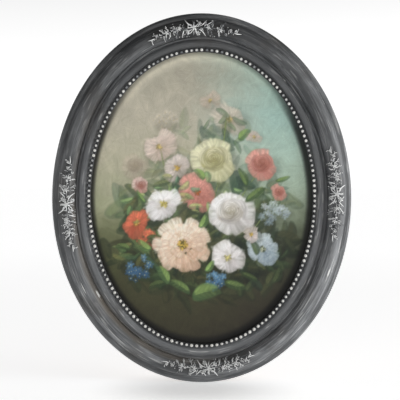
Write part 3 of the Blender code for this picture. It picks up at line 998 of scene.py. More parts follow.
    def _with_pocket(self, piece: bpy.types.Object) -> bpy.types.Object:
        """Cuts the pocket with a box about the hanging point, which is then dropped."""
        cutter = Draft("pocket_cutter")
        signs = np.array(((-1.0, -1.0), (1.0, -1.0), (1.0, 1.0), (-1.0, 1.0)))
        x, z = (signs * (self.pocket_width / 2, self.pocket_height / 2)).T
        ends = [np.stack((x, np.full(4, y), z), axis=-1) for y in (-self.pocket_depth, self.pocket_depth)]
        numbers = cutter.add_points(np.stack(ends), {"bare": np.ones((2, 4))})
        cutter.add_grid(numbers, wrap_columns=True)
        cutter.faces.extend((numbers[:1], numbers[1:, ::-1]))
        box = cutter.build(piece.data.materials[0], 30.0)
        change = piece.modifiers.new("pocket", "BOOLEAN")
        change.operation = "DIFFERENCE"
        change.solver = "EXACT"
        change.object = box
        shown = piece.evaluated_get(bpy.context.evaluated_depsgraph_get())
        cut_mesh = bpy.data.meshes.new_from_object(shown)
        piece.modifiers.clear()
        piece.data = cut_mesh
        bpy.data.objects.remove(box)
        return piece


@dataclass(frozen=True)
class BeadString:
    """The cord of round beads in its seat."""

    radius: float = 0.0030
    overhang: float = 0.0006
    pitch: float = 0.00694
    neck: float = 0.34
    sides: int = 14
    gap: float = 0.0003
    size_spread: float = 0.06
    least_wear: float = 0.46
    wear_spread: float = 0.55
    # Painted light: how much whiter the bead tops are at the foot than at the top.
    painted_light_below: float = 0.14
    white_edge: float = 0.42
    white_fade: float = 0.62

    def build(self, material: bpy.types.Material) -> bpy.types.Object:
        """Sweeps a ring round the oval, with radius sqrt(R * R - d * d) at d from a bead's middle.

        Args:
            material: The brushed finish.

        Returns:
            The bead string.
        """
        line = self.radius - self.overhang
        total = OVAL.length(line)
        count = round(total / self.pitch)
        pitch = total / count
        share = np.array((-0.5, -0.46, -0.37, -0.24, -0.08, 0.08, 0.24, 0.37, 0.46))
        rng = np.random.default_rng(11)
        size = 1.0 - self.size_spread * rng.random(count)
        wear = self.least_wear + self.wear_spread * rng.random(count)
        # Random wear, and painted light that whitens the bead tops towards the foot.
        wear = wear + self.painted_light_below * (1.0 - np.sin(circle(count)))
        distance = ((np.arange(count)[:, None] + 0.5 + share[None, :]) * pitch).ravel()
        off = np.abs(share) * self.pitch
        round_part = np.sqrt(np.maximum(self.radius**2 - off**2, 0.0))
        ring = np.maximum(round_part, self.neck * self.radius)
        radius = (size[:, None] * ring[None, :]).ravel()[:, None]
        angle = OVAL.angle_after(0.0, distance, line)[:, None]
        turn = circle(self.sides)[None, :]
        height = SECTION.seat_height + self.gap + self.radius + radius * np.sin(turn)
        points = OVAL.place(angle, line + radius * np.cos(turn), height)
        full = radius / self.radius
        dome = (np.sin(turn) * full - self.white_edge) / self.white_fade
        brushed = np.clip(dome, -0.2, 1.0) * np.repeat(wear, len(share))[:, None]
        draft = Draft("bead_string_cast")
        numbers = draft.add_points(points, {"brushed": brushed})
        draft.add_grid(numbers, wrap_rows=True, wrap_columns=True)
        return draft.build(material, 120.0)


@dataclass(frozen=True)
class Blade:
    """A leaf, petal, stem or frond of a spray, in millimetres and degrees on the crown.

    The foot is (along, across): along is clockwise from the spray's middle and across is outwards.
    """

    foot: Spot
    heading: float
    length: float
    half_width: float
    bend: float = 0.0
    base: float = 0.9
    arch: float = 0.8
    cup: float = 0.5
    thick: float = 0.9
    blunt: float = 0.8
    white: float = 1.0
    plain: float = 0.8


class Spray:
    """One cast spray of leaves and small flowers, bent over the crown; the four are one casting."""

    used: float = 0.90
    inwards: float = 1.6
    highest: float = 4.15
    rows: int = 7
    sides: int = 7
    stem_length: float = 58.0
    clump_length: float = 18.0
    rays: int = 13
    branches: tuple = (
        (180.0, 19, 2.85, 11.0),
        (0.0, 18, 3.0, 10.4),
    )
    leaves: tuple = (
        ((-13.0, -0.5), 222.0, 12.0, 0.60, 48.0),
        ((5.0, -1.0), -12.0, 17.0, 0.60, -56.0),
        ((9.0, 2.0), 24.0, 12.0, 0.60, 38.0),
        ((16.0, 3.0), 12.0, 12.0, 0.55, 46.0),
        ((-5.0, 3.0), 150.0, 12.0, 0.60, -50.0),
        ((-56.0, -0.5), 184.0, 11.0, 0.55, -22.0),
        ((55.0, -0.5), -4.0, 12.0, 0.55, 24.0),
    )
    flowers: tuple = (
        ((0.0, 0.6), 5.0, 18.0),
        ((-8.5, -4.2), 3.6, 30.0),
        ((8.0, 5.0), 3.4, 62.0),
        ((6.5, -6.0), 2.8, 11.0),
        ((19.5, 0.8), 3.6, 40.0),
        ((-20.0, 2.0), 3.4, 55.0),
        ((37.5, -1.2), 3.4, 5.0),
        ((-38.5, 0.6), 3.8, 25.0),
        ((-52.0, 1.5), 2.4, 48.0),
        ((51.0, 0.5), 2.4, 33.0),
    )

    def __init__(self, side: Side) -> None:
        """Starts the spray of one side, with the chances that all four share."""
        self.side = side
        self.draft = Draft(f"cast_spray_{side.name.lower()}")
        self.chance = np.random.default_rng(17).random

    def _on_crown(self, along: Array, across: Array, lift: Array) -> Array:
        """Lays flat places over the crown.

        The crown rises as sqrt(1 - s * s) with s the share of its half-width, and a place lifts
        along the crown's own outward direction.

        Args:
            along: Millimetres clockwise from the middle.
            across: Millimetres outwards.
            lift: Millimetres above the crown.

        Returns:
            Points in metres.
        """
        half = SECTION.crown_width / 2
        held = np.clip((across - self.inwards) / PER_METRE, -self.used * half, self.used * half)
        root = np.sqrt(1.0 - (held / half) ** 2)
        way_out = held / half**2
        way_up = root / SECTION.crown_rise
        size = np.hypot(way_out, way_up)
        raised = np.minimum(lift, self.highest) / PER_METRE
        out = SECTION.crown_line + held + raised * way_out / size
        height = SECTION.crown_foot + SECTION.crown_rise * root + raised * way_up / size
        return OVAL.place(self.side.angle(along / PER_METRE), out, height)

    def _add_blade(self, blade: Blade) -> None:
        """Adds one blade as a closed flattened tube.

        Its middle line turns evenly by the bend. Half-width is sin(pi t^0.72) to a power. The top
        is cupped by the square of the place across it, with a raised midrib, and it arches as
        sin(1.15 pi t).

        Args:
            blade: The blade.
        """
        t = np.linspace(0.015, 0.985, self.rows)[:, None]
        turn = circle(self.sides)[None, :]
        start = math.radians(blade.heading)
        bend = math.radians(blade.bend) if blade.bend else 1e-6
        way = start + bend * t
        along = blade.foot[0] + blade.length / bend * (np.sin(way) - math.sin(start))
        across = blade.foot[1] - blade.length / bend * (np.cos(way) - math.cos(start))
        outline = np.sin(math.pi * t**0.72) ** blade.blunt
        w, top = np.cos(turn), np.sin(turn)
        aside = w * outline * blade.half_width
        rib = hill(w, 0.30) * np.maximum(top, 0.0) * (1.0 - 0.6 * t)
        lift = blade.base + blade.arch * np.sin(math.pi * np.minimum(t * 1.15, 1.0))
        lift = lift + blade.cup * w**2 * outline + 0.5 * blade.thick * top * (0.35 + 0.65 * outline)
        lift = np.maximum(lift + 0.30 * rib, 0.05)
        points = self._on_crown(along - aside * np.sin(way), across + aside * np.cos(way), lift)
        edge = smooth((np.abs(w) - 0.35) / 0.4) * (1.0 - blade.plain)
        brushed = smooth(top * 1.2 + 0.1) * (blade.plain + edge + 0.8 * rib) * blade.white
        brushed = np.clip(brushed * smooth(lift - 0.4), 0.0, 1.1)
        # Brushed white, times the side's painted light.
        self.draft.add_tube(points, {"brushed": brushed * self.side.painted_side_light})

    def _add_flower(self, spot: Spot, size: float, turned: float) -> None:
        """Adds an open flower: five broad petals, five narrow ones over them and a round heart."""
        petals = 5
        for ring, long, half, bend, plain in ((0, 1.0, 0.19, 30.0, 0.55), (1, 0.60, 0.16, -24.0, 0.8)):
            reach = size * long
            for index in range(petals):
                way = turned + 360.0 / petals * (index + 0.5 * ring)
                foot = beyond(spot, math.radians(way), 0.08 * size)
                blade = Blade(foot, way, reach * 0.94, reach * half, bend=bend, base=1.0 + 1.2 * ring,
                              arch=0.5 + 0.3 * ring, cup=0.9, thick=0.8, blunt=0.6, plain=plain)
                self._add_blade(blade)
        for index in range(petals):
            place = beyond(spot, math.radians(turned + 360.0 / petals * index), size * 0.17)
            self._add_berry(place, size * 0.10, 2.7)
        self._add_berry(spot, size * 0.10, 3.0)

    def _add_berry(self, spot: Spot, size: float, lift: float) -> None:
        """Adds a small ball at a place on the crown."""
        tilt = np.linspace(-1.35, 1.35, 5)[:, None]
        turn = circle(8)[None, :]
        along = spot[0] + size * np.cos(tilt) * np.cos(turn)
        across = spot[1] + size * np.cos(tilt) * np.sin(turn)
        points = self._on_crown(along, across, lift + size * np.sin(tilt))
        brushed = smooth((np.sin(tilt) + 0.3) * 0.9) * np.ones_like(turn) * self.side.painted_side_light
        self.draft.add_tube(points, {"brushed": brushed})

    def _add_sprig(self, foot: Spot, heading: float, length: float) -> None:
        """Adds a spidery sprig: a bent stalk with thin curled leaves and a berry on some of them."""
        curl = 60.0 * (self.chance() - 0.5)
        bright = 0.35 + 0.75 * self.chance()
        stalk = Blade(foot, heading, length, 0.30, bend=curl, base=0.5, arch=1.2, cup=0.0, thick=0.8,
                      blunt=0.3, white=bright)
        self._add_blade(stalk)
        for index in range(4):
            share = 0.12 + 0.27 * index
            spot = beyond(foot, math.radians(heading + 0.5 * curl * share), length * share)
            for hand in (-1, 1):
                if self.chance() < 0.22:
                    continue
                size = length * (0.50 - 0.08 * index) * (0.6 + 0.8 * self.chance())
                turned = heading + curl * share + hand * (58.0 - 9.0 * index) + 44.0 * (self.chance() - 0.5)
                leaf = Blade(
                    spot,
                    turned,
                    size,
                    0.34 + 0.34 * self.chance(),
                    bend=-hand * 110.0 * (self.chance() - 0.15),
                    base=0.5 + 0.9 * self.chance(),
                    arch=0.4 + 1.3 * self.chance(),
                    cup=0.2,
                    thick=0.8,
                    white=bright * (0.45 + 0.85 * self.chance()),
                )
                self._add_blade(leaf)
                if self.chance() < 0.20:
                    self._add_berry(beyond(spot, math.radians(turned), size), 0.55, 1.8)

    def _add_branch(self, way: float, count: int, pitch: float, longest: float) -> None:
        """Adds the sprigs of one end, by turns to both hands of the stem.

        They come in loose clumps, as a cosine of the place, and get shorter towards the tip.

        Args:
            way: 0 for the clockwise end, 180 for the other.
            count: How many sprigs it has.
            pitch: Millimetres from one to the next.
            longest: The length of the first ones.
        """
        ahead = 1.0 if way == 0.0 else -1.0
        for index in range(count):
            hand = 1.0 if index % 2 else -1.0
            place = 3.0 + pitch * (index + 0.8 * self.chance())
            clump = 0.78 + 0.34 * math.cos(FULL_TURN * (place - 2.0) / self.clump_length)
            shrink = (1.0 - 0.50 * (index / count) ** 2) * clump
            spread = (74.0 - 50.0 * index / count) + 46.0 * (self.chance() - 0.5)
            foot = (ahead * place, 1.6 * (self.chance() - 0.5))
            self._add_sprig(foot, way + ahead * hand * spread, longest * shrink)

    def build(self, material: bpy.types.Material) -> bpy.types.Object:
        """Carves the spray: stem, sprigs, broader leaves, a star of narrow leaves, and flowers.

        Args:
            material: The brushed finish.

        Returns:
            The spray.
        """
        for way, bend in ((0.0, 3.0), (180.0, -3.0)):
            stem = Blade((0.0, 0.0), way, self.stem_length, 0.5, bend=bend, base=0.4, arch=0.4,
                         cup=0.0, blunt=0.25, white=0.5)
            self._add_blade(stem)
        for branch in self.branches:
            self._add_branch(*branch)
        for foot, heading, length, half, bend in self.leaves:
            leaf = Blade(foot, heading, length, half, bend=bend, base=1.5, arch=1.0, plain=0.9)
            self._add_blade(leaf)
        for index in range(self.rays):
            way = 15.0 + 360.0 / self.rays * index + 20.0 * (self.chance() - 0.5)
            foot = beyond((0.0, 0.0), math.radians(way), 2.5)
            long = 6.6 + 3.6 * self.chance()
            ray = Blade(foot, way, long, 0.50, bend=90.0 * (self.chance() - 0.5), base=0.9, arch=1.3,
                        white=0.5 + 0.6 * self.chance())
            self._add_blade(ray)
        for spot, size, turned in self.flowers:
            self._add_flower(spot, size, turned)
        return self.draft.build(material, 75.0)


class Bloom(Enum):
    """The kinds of flower in the picture."""

    ROSE = "rose"
    DOUBLE = "double"
    OPEN = "open"
    CLUSTER = "cluster"


@dataclass(frozen=True)
class Flower:
    """One painted flower, in millimetres from the middle of the picture."""

    kind: Bloom
    spot: Spot
    size: float
    petal: Array
    shade: Array
    heart: Array
    clear: float = 1.0
    squash: float = 0.9
    turned: float = 0.0
    lie: float = 0.5


@dataclass(frozen=True)
class Leaves:
    """A mass of painted leaves, scattered in an oval patch."""

    count: int
    middle: Spot
    reach: Spot
    size: float
    light: float
    clear: float


class Canvas:
    """The picture while it's painted: colour, thickness and stroke at each place, in millimetres."""

    pitch: float = 0.7

    def __init__(self, half_width: float, half_height: float, seed: int) -> None:
        """Makes an empty canvas."""
        columns = int(round(2 * half_width / self.pitch)) + 1
        rows = int(round(2 * half_height / self.pitch)) + 1
        self.x = np.linspace(-half_width, half_width, columns)
        self.z = np.linspace(-half_height, half_height, rows)
        self.colour = np.zeros((rows, columns, 3))
        self.relief = np.zeros((rows, columns))
        self.lay = np.zeros((rows, columns, 3))
        self.random = np.random.default_rng(seed)
        self.strokes = 0

    def stroke(
        self,
        spot: Spot,
        way: float,
        size: Spot,
        colour: Array,
        cover: float = 0.85,
        bend: float = 0.0,
        soft: float = 0.5,
        taper: float = 0.25,
        lean: float = 0.0,
    ) -> None:
        """Lays one brush stroke.

        With u along it and v across it, both from -1 to 1, v is pulled aside by bend * u * u. The
        half-width is (1 - u * u) to the power of taper, times 1 + lean * u. Cover is a smooth step in
        from each edge. A random row across v is the bristles: it varies the colour and breaks up the
        far end.

        Args:
            spot: The stroke's middle.
            way: Its direction in radians.
            size: Its length and width.
            colour: Its paint.
            cover: How much of what lies under it is hidden.
            bend: How far its ends pull aside, as a share of half its width.
            soft: How far its edges fade, as a share of the half sizes.
            taper: How pointed its ends are.
            lean: How much wider its far end is than its near end.
        """
        length, width = size
        reach = 0.5 * math.hypot(length, width * (1.0 + abs(bend) + abs(lean)))
        left, right = np.searchsorted(self.x, (spot[0] - reach, spot[0] + reach))
        low, high = np.searchsorted(self.z, (spot[1] - reach, spot[1] + reach))
        if left >= right or low >= high:
            return
        dx = self.x[None, left:right] - spot[0]
        dz = self.z[low:high, None] - spot[1]
        u = (dx * math.cos(way) + dz * math.sin(way)) / (length / 2)
        v = (dz * math.cos(way) - dx * math.sin(way)) / (width / 2) - bend * u * u
        shape = np.maximum(1.0 - u * u, 0.0) ** taper * (1.0 + lean * u)
        v = v / np.maximum(shape, 0.02)
        bristle = np.interp(v, np.linspace(-1.2, 1.2, 11), self.random.random(11))
        ragged = 1.0 - 0.5 * bristle * smooth(u * 0.5 + 0.5)
        mask = smooth((1.0 - np.abs(v)) / soft) * smooth((1.0 - np.abs(u)) / (0.5 * soft))
        mask = mask * ragged * cover
        window = (slice(low, high), slice(left, right))
        mixed = colour * (1.0 + 0.14 * (bristle[..., None] - 0.5))
        self.colour[window] += (mixed - self.colour[window]) * mask[..., None]
        self.relief[window] += (bristle * cover - self.relief[window]) * mask
        self.strokes += 1
        lay = np.stack((u * length / 2, v * width / 2, np.full_like(u, self.strokes % 97)), axis=-1)
        self.lay[window] = np.where(mask[..., None] > 0.3 * cover, lay, self.lay[window])

    def read(self, field: Array, x: Array, z: Array) -> Array:
        """Reads a field of the canvas between its places, in proportion to their nearness."""
        column = np.clip((x - self.x[0]) / self.pitch, 0, len(self.x) - 1.001)
        row = np.clip((z - self.z[0]) / self.pitch, 0, len(self.z) - 1.001)
        j, i = column.astype(int), row.astype(int)
        a, b = column - j, row - i
        if field.ndim == 3:
            a, b = a[..., None], b[..., None]
        low = field[i, j] * (1 - a) + field[i, j + 1] * a
        high = field[i + 1, j] * (1 - a) + field[i + 1, j + 1] * a
        return low * (1 - b) + high * b

    def nearest(self, field: Array, x: Array, z: Array) -> Array:
        """Reads a field of the canvas at its nearest places."""
        j = np.clip(np.rint((x - self.x[0]) / self.pitch).astype(int), 0, len(self.x) - 1)
        i = np.clip(np.rint((z - self.z[0]) / self.pitch).astype(int), 0, len(self.z) - 1)
        return field[i, j]


class FlowerPicture:
    """Paints a garden bunch on a pale ground that turns dark olive below."""

    half_width: float = 157.5
    half_height: float = 205.8
    light_degrees: float = 118.0
    greens: tuple = (
        tone(112, 134, 78),
        tone(84, 112, 66),
        tone(134, 144, 86),
        tone(70, 100, 74),
        tone(124, 120, 70),
    )
    ground_rows: tuple = (
        (-205.0, (52, 48, 34), (40, 35, 28)),
        (-165.0, (58, 56, 37), (50, 45, 34)),
        (-125.0, (66, 66, 42), (54, 52, 38)),
        (-85.0, (76, 80, 50), (60, 64, 47)),
        (-45.0, (112, 116, 84), (94, 102, 80)),
        (-5.0, (162, 164, 134), (152, 166, 144)),
        (50.0, (184, 180, 156), (172, 194, 178)),
        (110.0, (182, 176, 158), (162, 192, 182)),
        (205.0, (162, 158, 142), (158, 176, 162)),
    )

    def __init__(self, seed: int = 29) -> None:
        """Makes the canvas and takes the heights and the two colour columns of the ground."""
        self.canvas = Canvas(self.half_width, self.half_height, seed)
        self.random = self.canvas.random
        self.levels = [row[0] for row in self.ground_rows]
        self.columns = [np.array([row[side] for row in self.ground_rows]) / 255.0 for side in (1, 2)]

    def _jitter(self, amount: float) -> float:
        """A random number between minus and plus an amount."""
        return float(amount * (2.0 * self.random.random() - 1.0))

    def _vary(self, amount: float) -> float:
        """A random factor about 1, which differs from it by an amount at most."""
        return 1.0 + self._jitter(amount)

    @staticmethod
    def _beside(spot: Spot, way: float, ahead: float, aside: float) -> Spot:
        """The place a distance ahead of a spot and a distance to the left of its way."""
        x = spot[0] + ahead * math.cos(way) - aside * math.sin(way)
        return x, spot[1] + ahead * math.sin(way) + aside * math.cos(way)

    def ground(self, x: Array | float, z: Array | float) -> Array:
        """The ground's colour: pale above, turquoise to the right, dark olive below.

        Each side has a column of colours that are joined by straight lines over the height, and a
        smooth step across the picture mixes the two columns.

        Args:
            x: Millimetres to the right of the middle.
            z: Millimetres above the middle.

        Returns:
            The colour, one more dimension than the places have.
        """
        left, right = (read_rows(z, self.levels, column) for column in self.columns)
        return blend(left, right, smooth((np.asarray(x) + 30.0) / 140.0)[..., None])

    def _paint_ground(self) -> None:
        """Covers the canvas smoothly, then with broad crossing strokes, large ones first."""
        across, up = np.meshgrid(self.canvas.x, self.canvas.z)
        self.canvas.colour[:] = self.ground(across, up)
        for count, length, width, cover in ((900, 50.0, 20.0, 0.6), (1500, 30.0, 10.0, 0.34)):
            for _ in range(count):
                x, z = self._jitter(160.0), self._jitter(207.0)
                colour = self.ground(x + self._jitter(10.0), z + self._jitter(10.0))
                colour = colour * self._vary(0.06)
                size = (length * (0.8 + 0.4 * self.random.random()), width)
                self.canvas.stroke((x, z), self._jitter(math.pi), size, colour, cover,
                                   self._jitter(0.5), 0.9)

    def _leaf(
        self, spot: Spot, way: float, length: float, green: Array, clear: float = 1.0
    ) -> None:
        """Paints a leaf as a dark half and a light half, with fanned veins and a fine midrib."""
        width = length * (0.50 + self._jitter(0.17))
        bow = self._jitter(0.7)
        paint = self.canvas.stroke
        side = 1 if facing(way + math.pi / 2, self.light_degrees) > 0.5 else -1
        cool = green * np.array((0.88, 1.0, 1.06))
        paint(spot, way, (length * 1.06, width), cool * 0.66, 0.9 * clear, bow, 0.4, 0.8, -0.25)
        lit = self._beside(spot, way, 0.0, side * 0.19 * width)
        paint(lit, way + side * 0.08, (length * 0.94, 0.58 * width), green * 1.04, 0.8 * clear,
              bow - side * 0.2, 0.6, 0.8, -0.2)
        for index in range(4):
            ahead = length * (-0.26 + 0.16 * index)
            for hand in (-1, 1):
                shade = 1.16 if hand == side else 0.84
                start = self._beside(spot, way, ahead, hand * 0.17 * width)
                long = width * (0.50 - 0.06 * index)
                paint(start, way + hand * 0.7, (long, 0.16 * width), green * (shade + self._jitter(0.16)),
                      0.4 * clear, 0.0, 0.8)
        paint(spot, way, (length * 0.90, max(1.0, width * 0.06)), green * 1.25, 0.42 * clear,
              bow * 8.0, 0.7)

    def _scatter(self, leaves: Leaves) -> None:
        """Paints a mass of leaves in mixed greens, deeper towards the foot of the picture."""
        for _ in range(leaves.count):
            across, up = beyond((0.0, 0.0), self._jitter(math.pi), math.sqrt(self.random.random()))
            spot = (leaves.middle[0] + leaves.reach[0] * across, leaves.middle[1] + leaves.reach[1] * up)
            depth = 0.62 + 0.38 * float(smooth((spot[1] + 150.0) / 130.0))
            green = self.greens[self.random.integers(len(self.greens))] * leaves.light * depth
            green = blend(self.ground(*spot), green, 0.3 + 0.7 * leaves.clear)
            size = leaves.size * self._vary(0.35)
            self._leaf(spot, self._jitter(math.pi), size, green * self._vary(0.12), leaves.clear)

    def _stem(self, start: Spot, end: Spot, colour: Array, bend: float) -> None:
        """Paints a thin bent stem between two places."""
        middle = ((start[0] + end[0]) / 2, (start[1] + end[1]) / 2)
        way = math.atan2(end[1] - start[1], end[0] - start[0])
        long = 1.1 * math.dist(start, end)
        for wide, light, bow in ((2.6, 0.62, 3.0), (1.5, 1.15, 5.2)):
            self.canvas.stroke(middle, way, (long, wide), colour * light, 0.7, bend * bow, 0.5, 0.1)

    def _petal(
        self, flower: Flower, way: float, reach: float, length: float, width: float, ring: float
    ) -> None:
        """Paints one petal: a dark edge, its body, streaks that fan from the foot and a bright lip.

        Args:
            flower: The flower that it belongs to.
            way: Its direction from the heart, in radians.
            reach: How far its middle lies from the heart.
            length: Its length.
            width: Its width.
            ring: 1 for the outermost petals, less for inner ones.
        """
        paint = self.canvas.stroke
        lit = facing(way, self.light_degrees) + self._jitter(0.15)
        ahead, aside = math.cos(way - flower.lie), math.sin(way - flower.lie)
        tilt = flower.lie + math.atan2(aside, ahead * flower.squash)
        shrink = math.hypot(ahead * flower.squash, aside) * (1.0 - 0.25 * (1.0 - flower.squash) * ahead)
        reach, length = reach * shrink, length * shrink
        clear = flower.clear
        body = blend(flower.petal, flower.shade, float(np.clip(0.62 - 0.62 * lit + 0.2 * (1 - ring), 0, 1)))
        body = body * self._vary(0.04)
        spot = beyond(flower.spot, tilt, reach)
        bow = self._jitter(0.3)
        paint(self._beside(spot, tilt, 0.03 * length, -0.06 * width), tilt,
              (length * 1.05, width * 1.08), flower.shade * 0.78, 0.38 * clear, bow, 0.6, 0.5, 0.35)
        paint(spot, tilt, (length, width), body, 0.92 * clear, bow, 0.32, 0.5, 0.35)
        for index in range(5):
            aside = 0.20 * (index - 2) * width + self._jitter(0.05 * width)
            start = self._beside(spot, tilt, self._jitter(0.06 * length), aside)
            share = self.random.random()
            streak = blend(blend(body, flower.shade, 0.45), brighter(flower.petal, 1.08), share)
            paint(start, tilt + 0.5 * aside / max(width, 1.0), (0.80 * length, 0.17 * width + 0.5),
                  streak, 0.42 * clear, 0.0, 0.7)
        foot = beyond(flower.spot, tilt, reach - 0.36 * length)
        deep = blend(flower.shade, flower.heart, 0.25) * 0.90
        paint(foot, tilt, (0.62 * length, 0.52 * width), deep, 0.45 * clear, 0.0, 0.9)
        bright = brighter(flower.petal, 1.15)
        lift = float(np.clip(0.20 + 0.80 * lit, 0.0, 1.0))
        for index in range(6):
            aside = (0.15 * (index - 2.5) + self._jitter(0.05)) * width
            start = self._beside(spot, tilt, (0.20 + self._jitter(0.10)) * length, aside)
            paint(start, tilt + 0.7 * aside / max(width, 1.0), (0.52 * length, 0.20 * width),
                  blend(body, bright, lift), (0.30 + 0.25 * lift) * clear, 0.0, 0.9, 0.4)

    def _dabs(self, flower: Flower, count: int, spread: float, size: float) -> None:
        """Dabs a flower's heart, dark dabs first and light ones last."""
        for index in range(count):
            share = index / count
            way = self._jitter(math.pi)
            reach = spread * math.sqrt(self.random.random())
            spot = beyond(flower.spot, way, reach)
            colour = blend(flower.heart * 0.55, brighter(flower.heart, 1.2), share)
            self.canvas.stroke(spot, way, (size * 1.6, size), colour, 0.8 * flower.clear, 0.0, 0.6)

    def _open(self, flower: Flower) -> None:
        """Paints an open flower with five or six broad petals about a dabbed heart."""
        count = 6 if flower.size > 17.0 else 5
        for index in self.random.permutation(count):
            way = flower.turned + FULL_TURN * index / count + self._jitter(0.2)
            size = flower.size * self._vary(0.16)
            self._petal(flower, way, 0.53 * size, 0.98 * size, (0.92 + self._jitter(0.12)) * size, 1.0)
        self._dabs(flower, 22, 0.17 * flower.size, 0.08 * flower.size + 0.6)

    def _double(self, flower: Flower) -> None:
        """Paints a full flower, in rings of petals that shrink towards the heart."""
        rings = 5 if flower.size > 24.0 else 4
        for ring in range(rings):
            share = 1.0 - ring / rings
            reach = flower.size * (0.14 + 0.86 * share)
            count = int(6 + 5 * share)
            start = self._jitter(1.0)
            for index in self.random.permutation(count):
                way = start + FULL_TURN * index / count + self._jitter(0.22)
                long = 0.60 * reach * self._vary(0.2)
                wide = FULL_TURN * reach / count * (0.92 + self._jitter(0.15))
                size = reach * self._vary(0.08)
                self._petal(flower, way, size - 0.5 * long, long, wide, share)
        self._dabs(flower, 26, 0.15 * flower.size, 0.06 * flower.size + 0.6)

    def _rose(self, flower: Flower) -> None:
        """Paints a rose: broad outer petals, then arcs that wind in to a deep heart."""
        for index in self.random.permutation(6):
            way = flower.turned + FULL_TURN * index / 6 + self._jitter(0.2)
            size = flower.size * self._vary(0.1)
            self._petal(flower, way, 0.60 * size, 0.78 * size, 0.98 * size, 1.0)
        paint = self.canvas.stroke
        middle = (flower.spot[0], flower.spot[1] + 0.08 * flower.size)
        cup = blend(flower.shade, flower.heart, 0.3)
        paint(middle, 0.3, (1.30 * flower.size, 1.15 * flower.size), cup, 0.8 * flower.clear, 0.0, 0.5,
              0.5)
        steps = 22
        for index in range(steps):
            share = 1.0 - index / steps
            reach = flower.size * 0.60 * share
            way = flower.turned + 2.25 * index + self._jitter(0.25)
            lit = facing(way, self.light_degrees)
            spot = (middle[0] + reach * math.cos(way), middle[1] + reach * math.sin(way) * 0.85)
            colour = blend(flower.shade, flower.petal, 0.25 + 0.75 * lit)
            colour = blend(colour, flower.heart, 0.55 * (1.0 - share))
            long, wide = reach * 1.35 + 3.0, 0.27 * flower.size * (0.45 + 0.55 * share)
            sag = min(long * long / (8.0 * max(reach, 2.0)), 0.4 * flower.size)
            paint(spot, way + math.pi / 2, (long, wide), colour * 0.84, 0.85 * flower.clear,
                  sag / (wide / 2), 0.5, 0.4)
            lip = beyond(spot, way, 0.28 * wide)
            bright = blend(colour, brighter(flower.petal, 1.1), 0.2 + 0.6 * lit)
            paint(lip, way + math.pi / 2, (0.9 * long, 0.45 * wide), bright, 0.6 * flower.clear,
                  sag / (0.225 * wide), 0.8, 0.5)

    def _cluster(self, flower: Flower) -> None:
        """Paints a loose head of small blossoms, each of five dabs about a dot."""
        for _ in range(int(6 + flower.size * 1.1)):
            way = self._jitter(math.pi)
            reach = flower.size * math.sqrt(self.random.random())
            middle = (
                flower.spot[0] + reach * math.cos(way),
                flower.spot[1] + reach * math.sin(way) * flower.squash,
            )
            high = (middle[1] - flower.spot[1]) / flower.size
            colour = blend(flower.shade, flower.petal, float(smooth(0.5 + 0.5 * high)))
            big = 0.8 + 0.5 * self.random.random()
            for index in range(5):
                turn = FULL_TURN * index / 5 + way
                spot = beyond(middle, turn, 2.3 * big)
                self.canvas.stroke(spot, turn, (4.6 * big, 3.4 * big),
                                   colour * self._vary(0.14), 0.85 * flower.clear, 0.0, 0.5,
                                   0.4, 0.3)
            self.canvas.stroke(middle, way, (2.0, 1.7), flower.heart, 0.85 * flower.clear)

    def _draw(self, flower: Flower) -> None:
        """Lays a soft shadow under a flower and paints it by its kind."""
        shadow = self.ground(*flower.spot) * 0.55
        under = (flower.spot[0] + 0.16 * flower.size, flower.spot[1] - 0.22 * flower.size)
        self.canvas.stroke(under, 0.0, (2.5 * flower.size, 2.3 * flower.size), shadow,
                           0.55 * flower.clear, 0.0, 0.9, 0.5)
        painters = {
            Bloom.ROSE: self._rose,
            Bloom.DOUBLE: self._double,
            Bloom.OPEN: self._open,
            Bloom.CLUSTER: self._cluster,
        }
        painters[flower.kind](flower)

    @staticmethod
    def _far_flowers() -> tuple[Flower, ...]:
        """Faint flowers against the pale ground."""
        gold, pale, dun = tone(196, 176, 110), tone(206, 198, 182), tone(160, 150, 132)
        return (
            Flower(Bloom.OPEN, (38.0, 108.0), 25.0, pale, dun, gold, 0.75, 0.72, 0.3, 0.9),
            Flower(Bloom.OPEN, (12.0, 134.0), 15.0, tone(204, 186, 168), dun, gold, 0.5, 0.66, 0.8, 2.0),
            Flower(Bloom.CLUSTER, (-50.0, 104.0), 17.0, pale, dun, gold, 0.45),
            Flower(Bloom.ROSE, (-92.0, 44.0), 19.0, tone(196, 184, 164), dun, tone(170, 150, 124), 0.5),
            Flower(Bloom.OPEN, (-58.0, 70.0), 24.0, tone(226, 208, 196), tone(176, 158, 142), gold, 0.8,
                   0.74, 1.0, 2.4),
            Flower(Bloom.OPEN, (72.0, 84.0), 12.0, tone(214, 186, 172), dun, gold, 0.5, 0.6, 0.8, 1.2),
        )

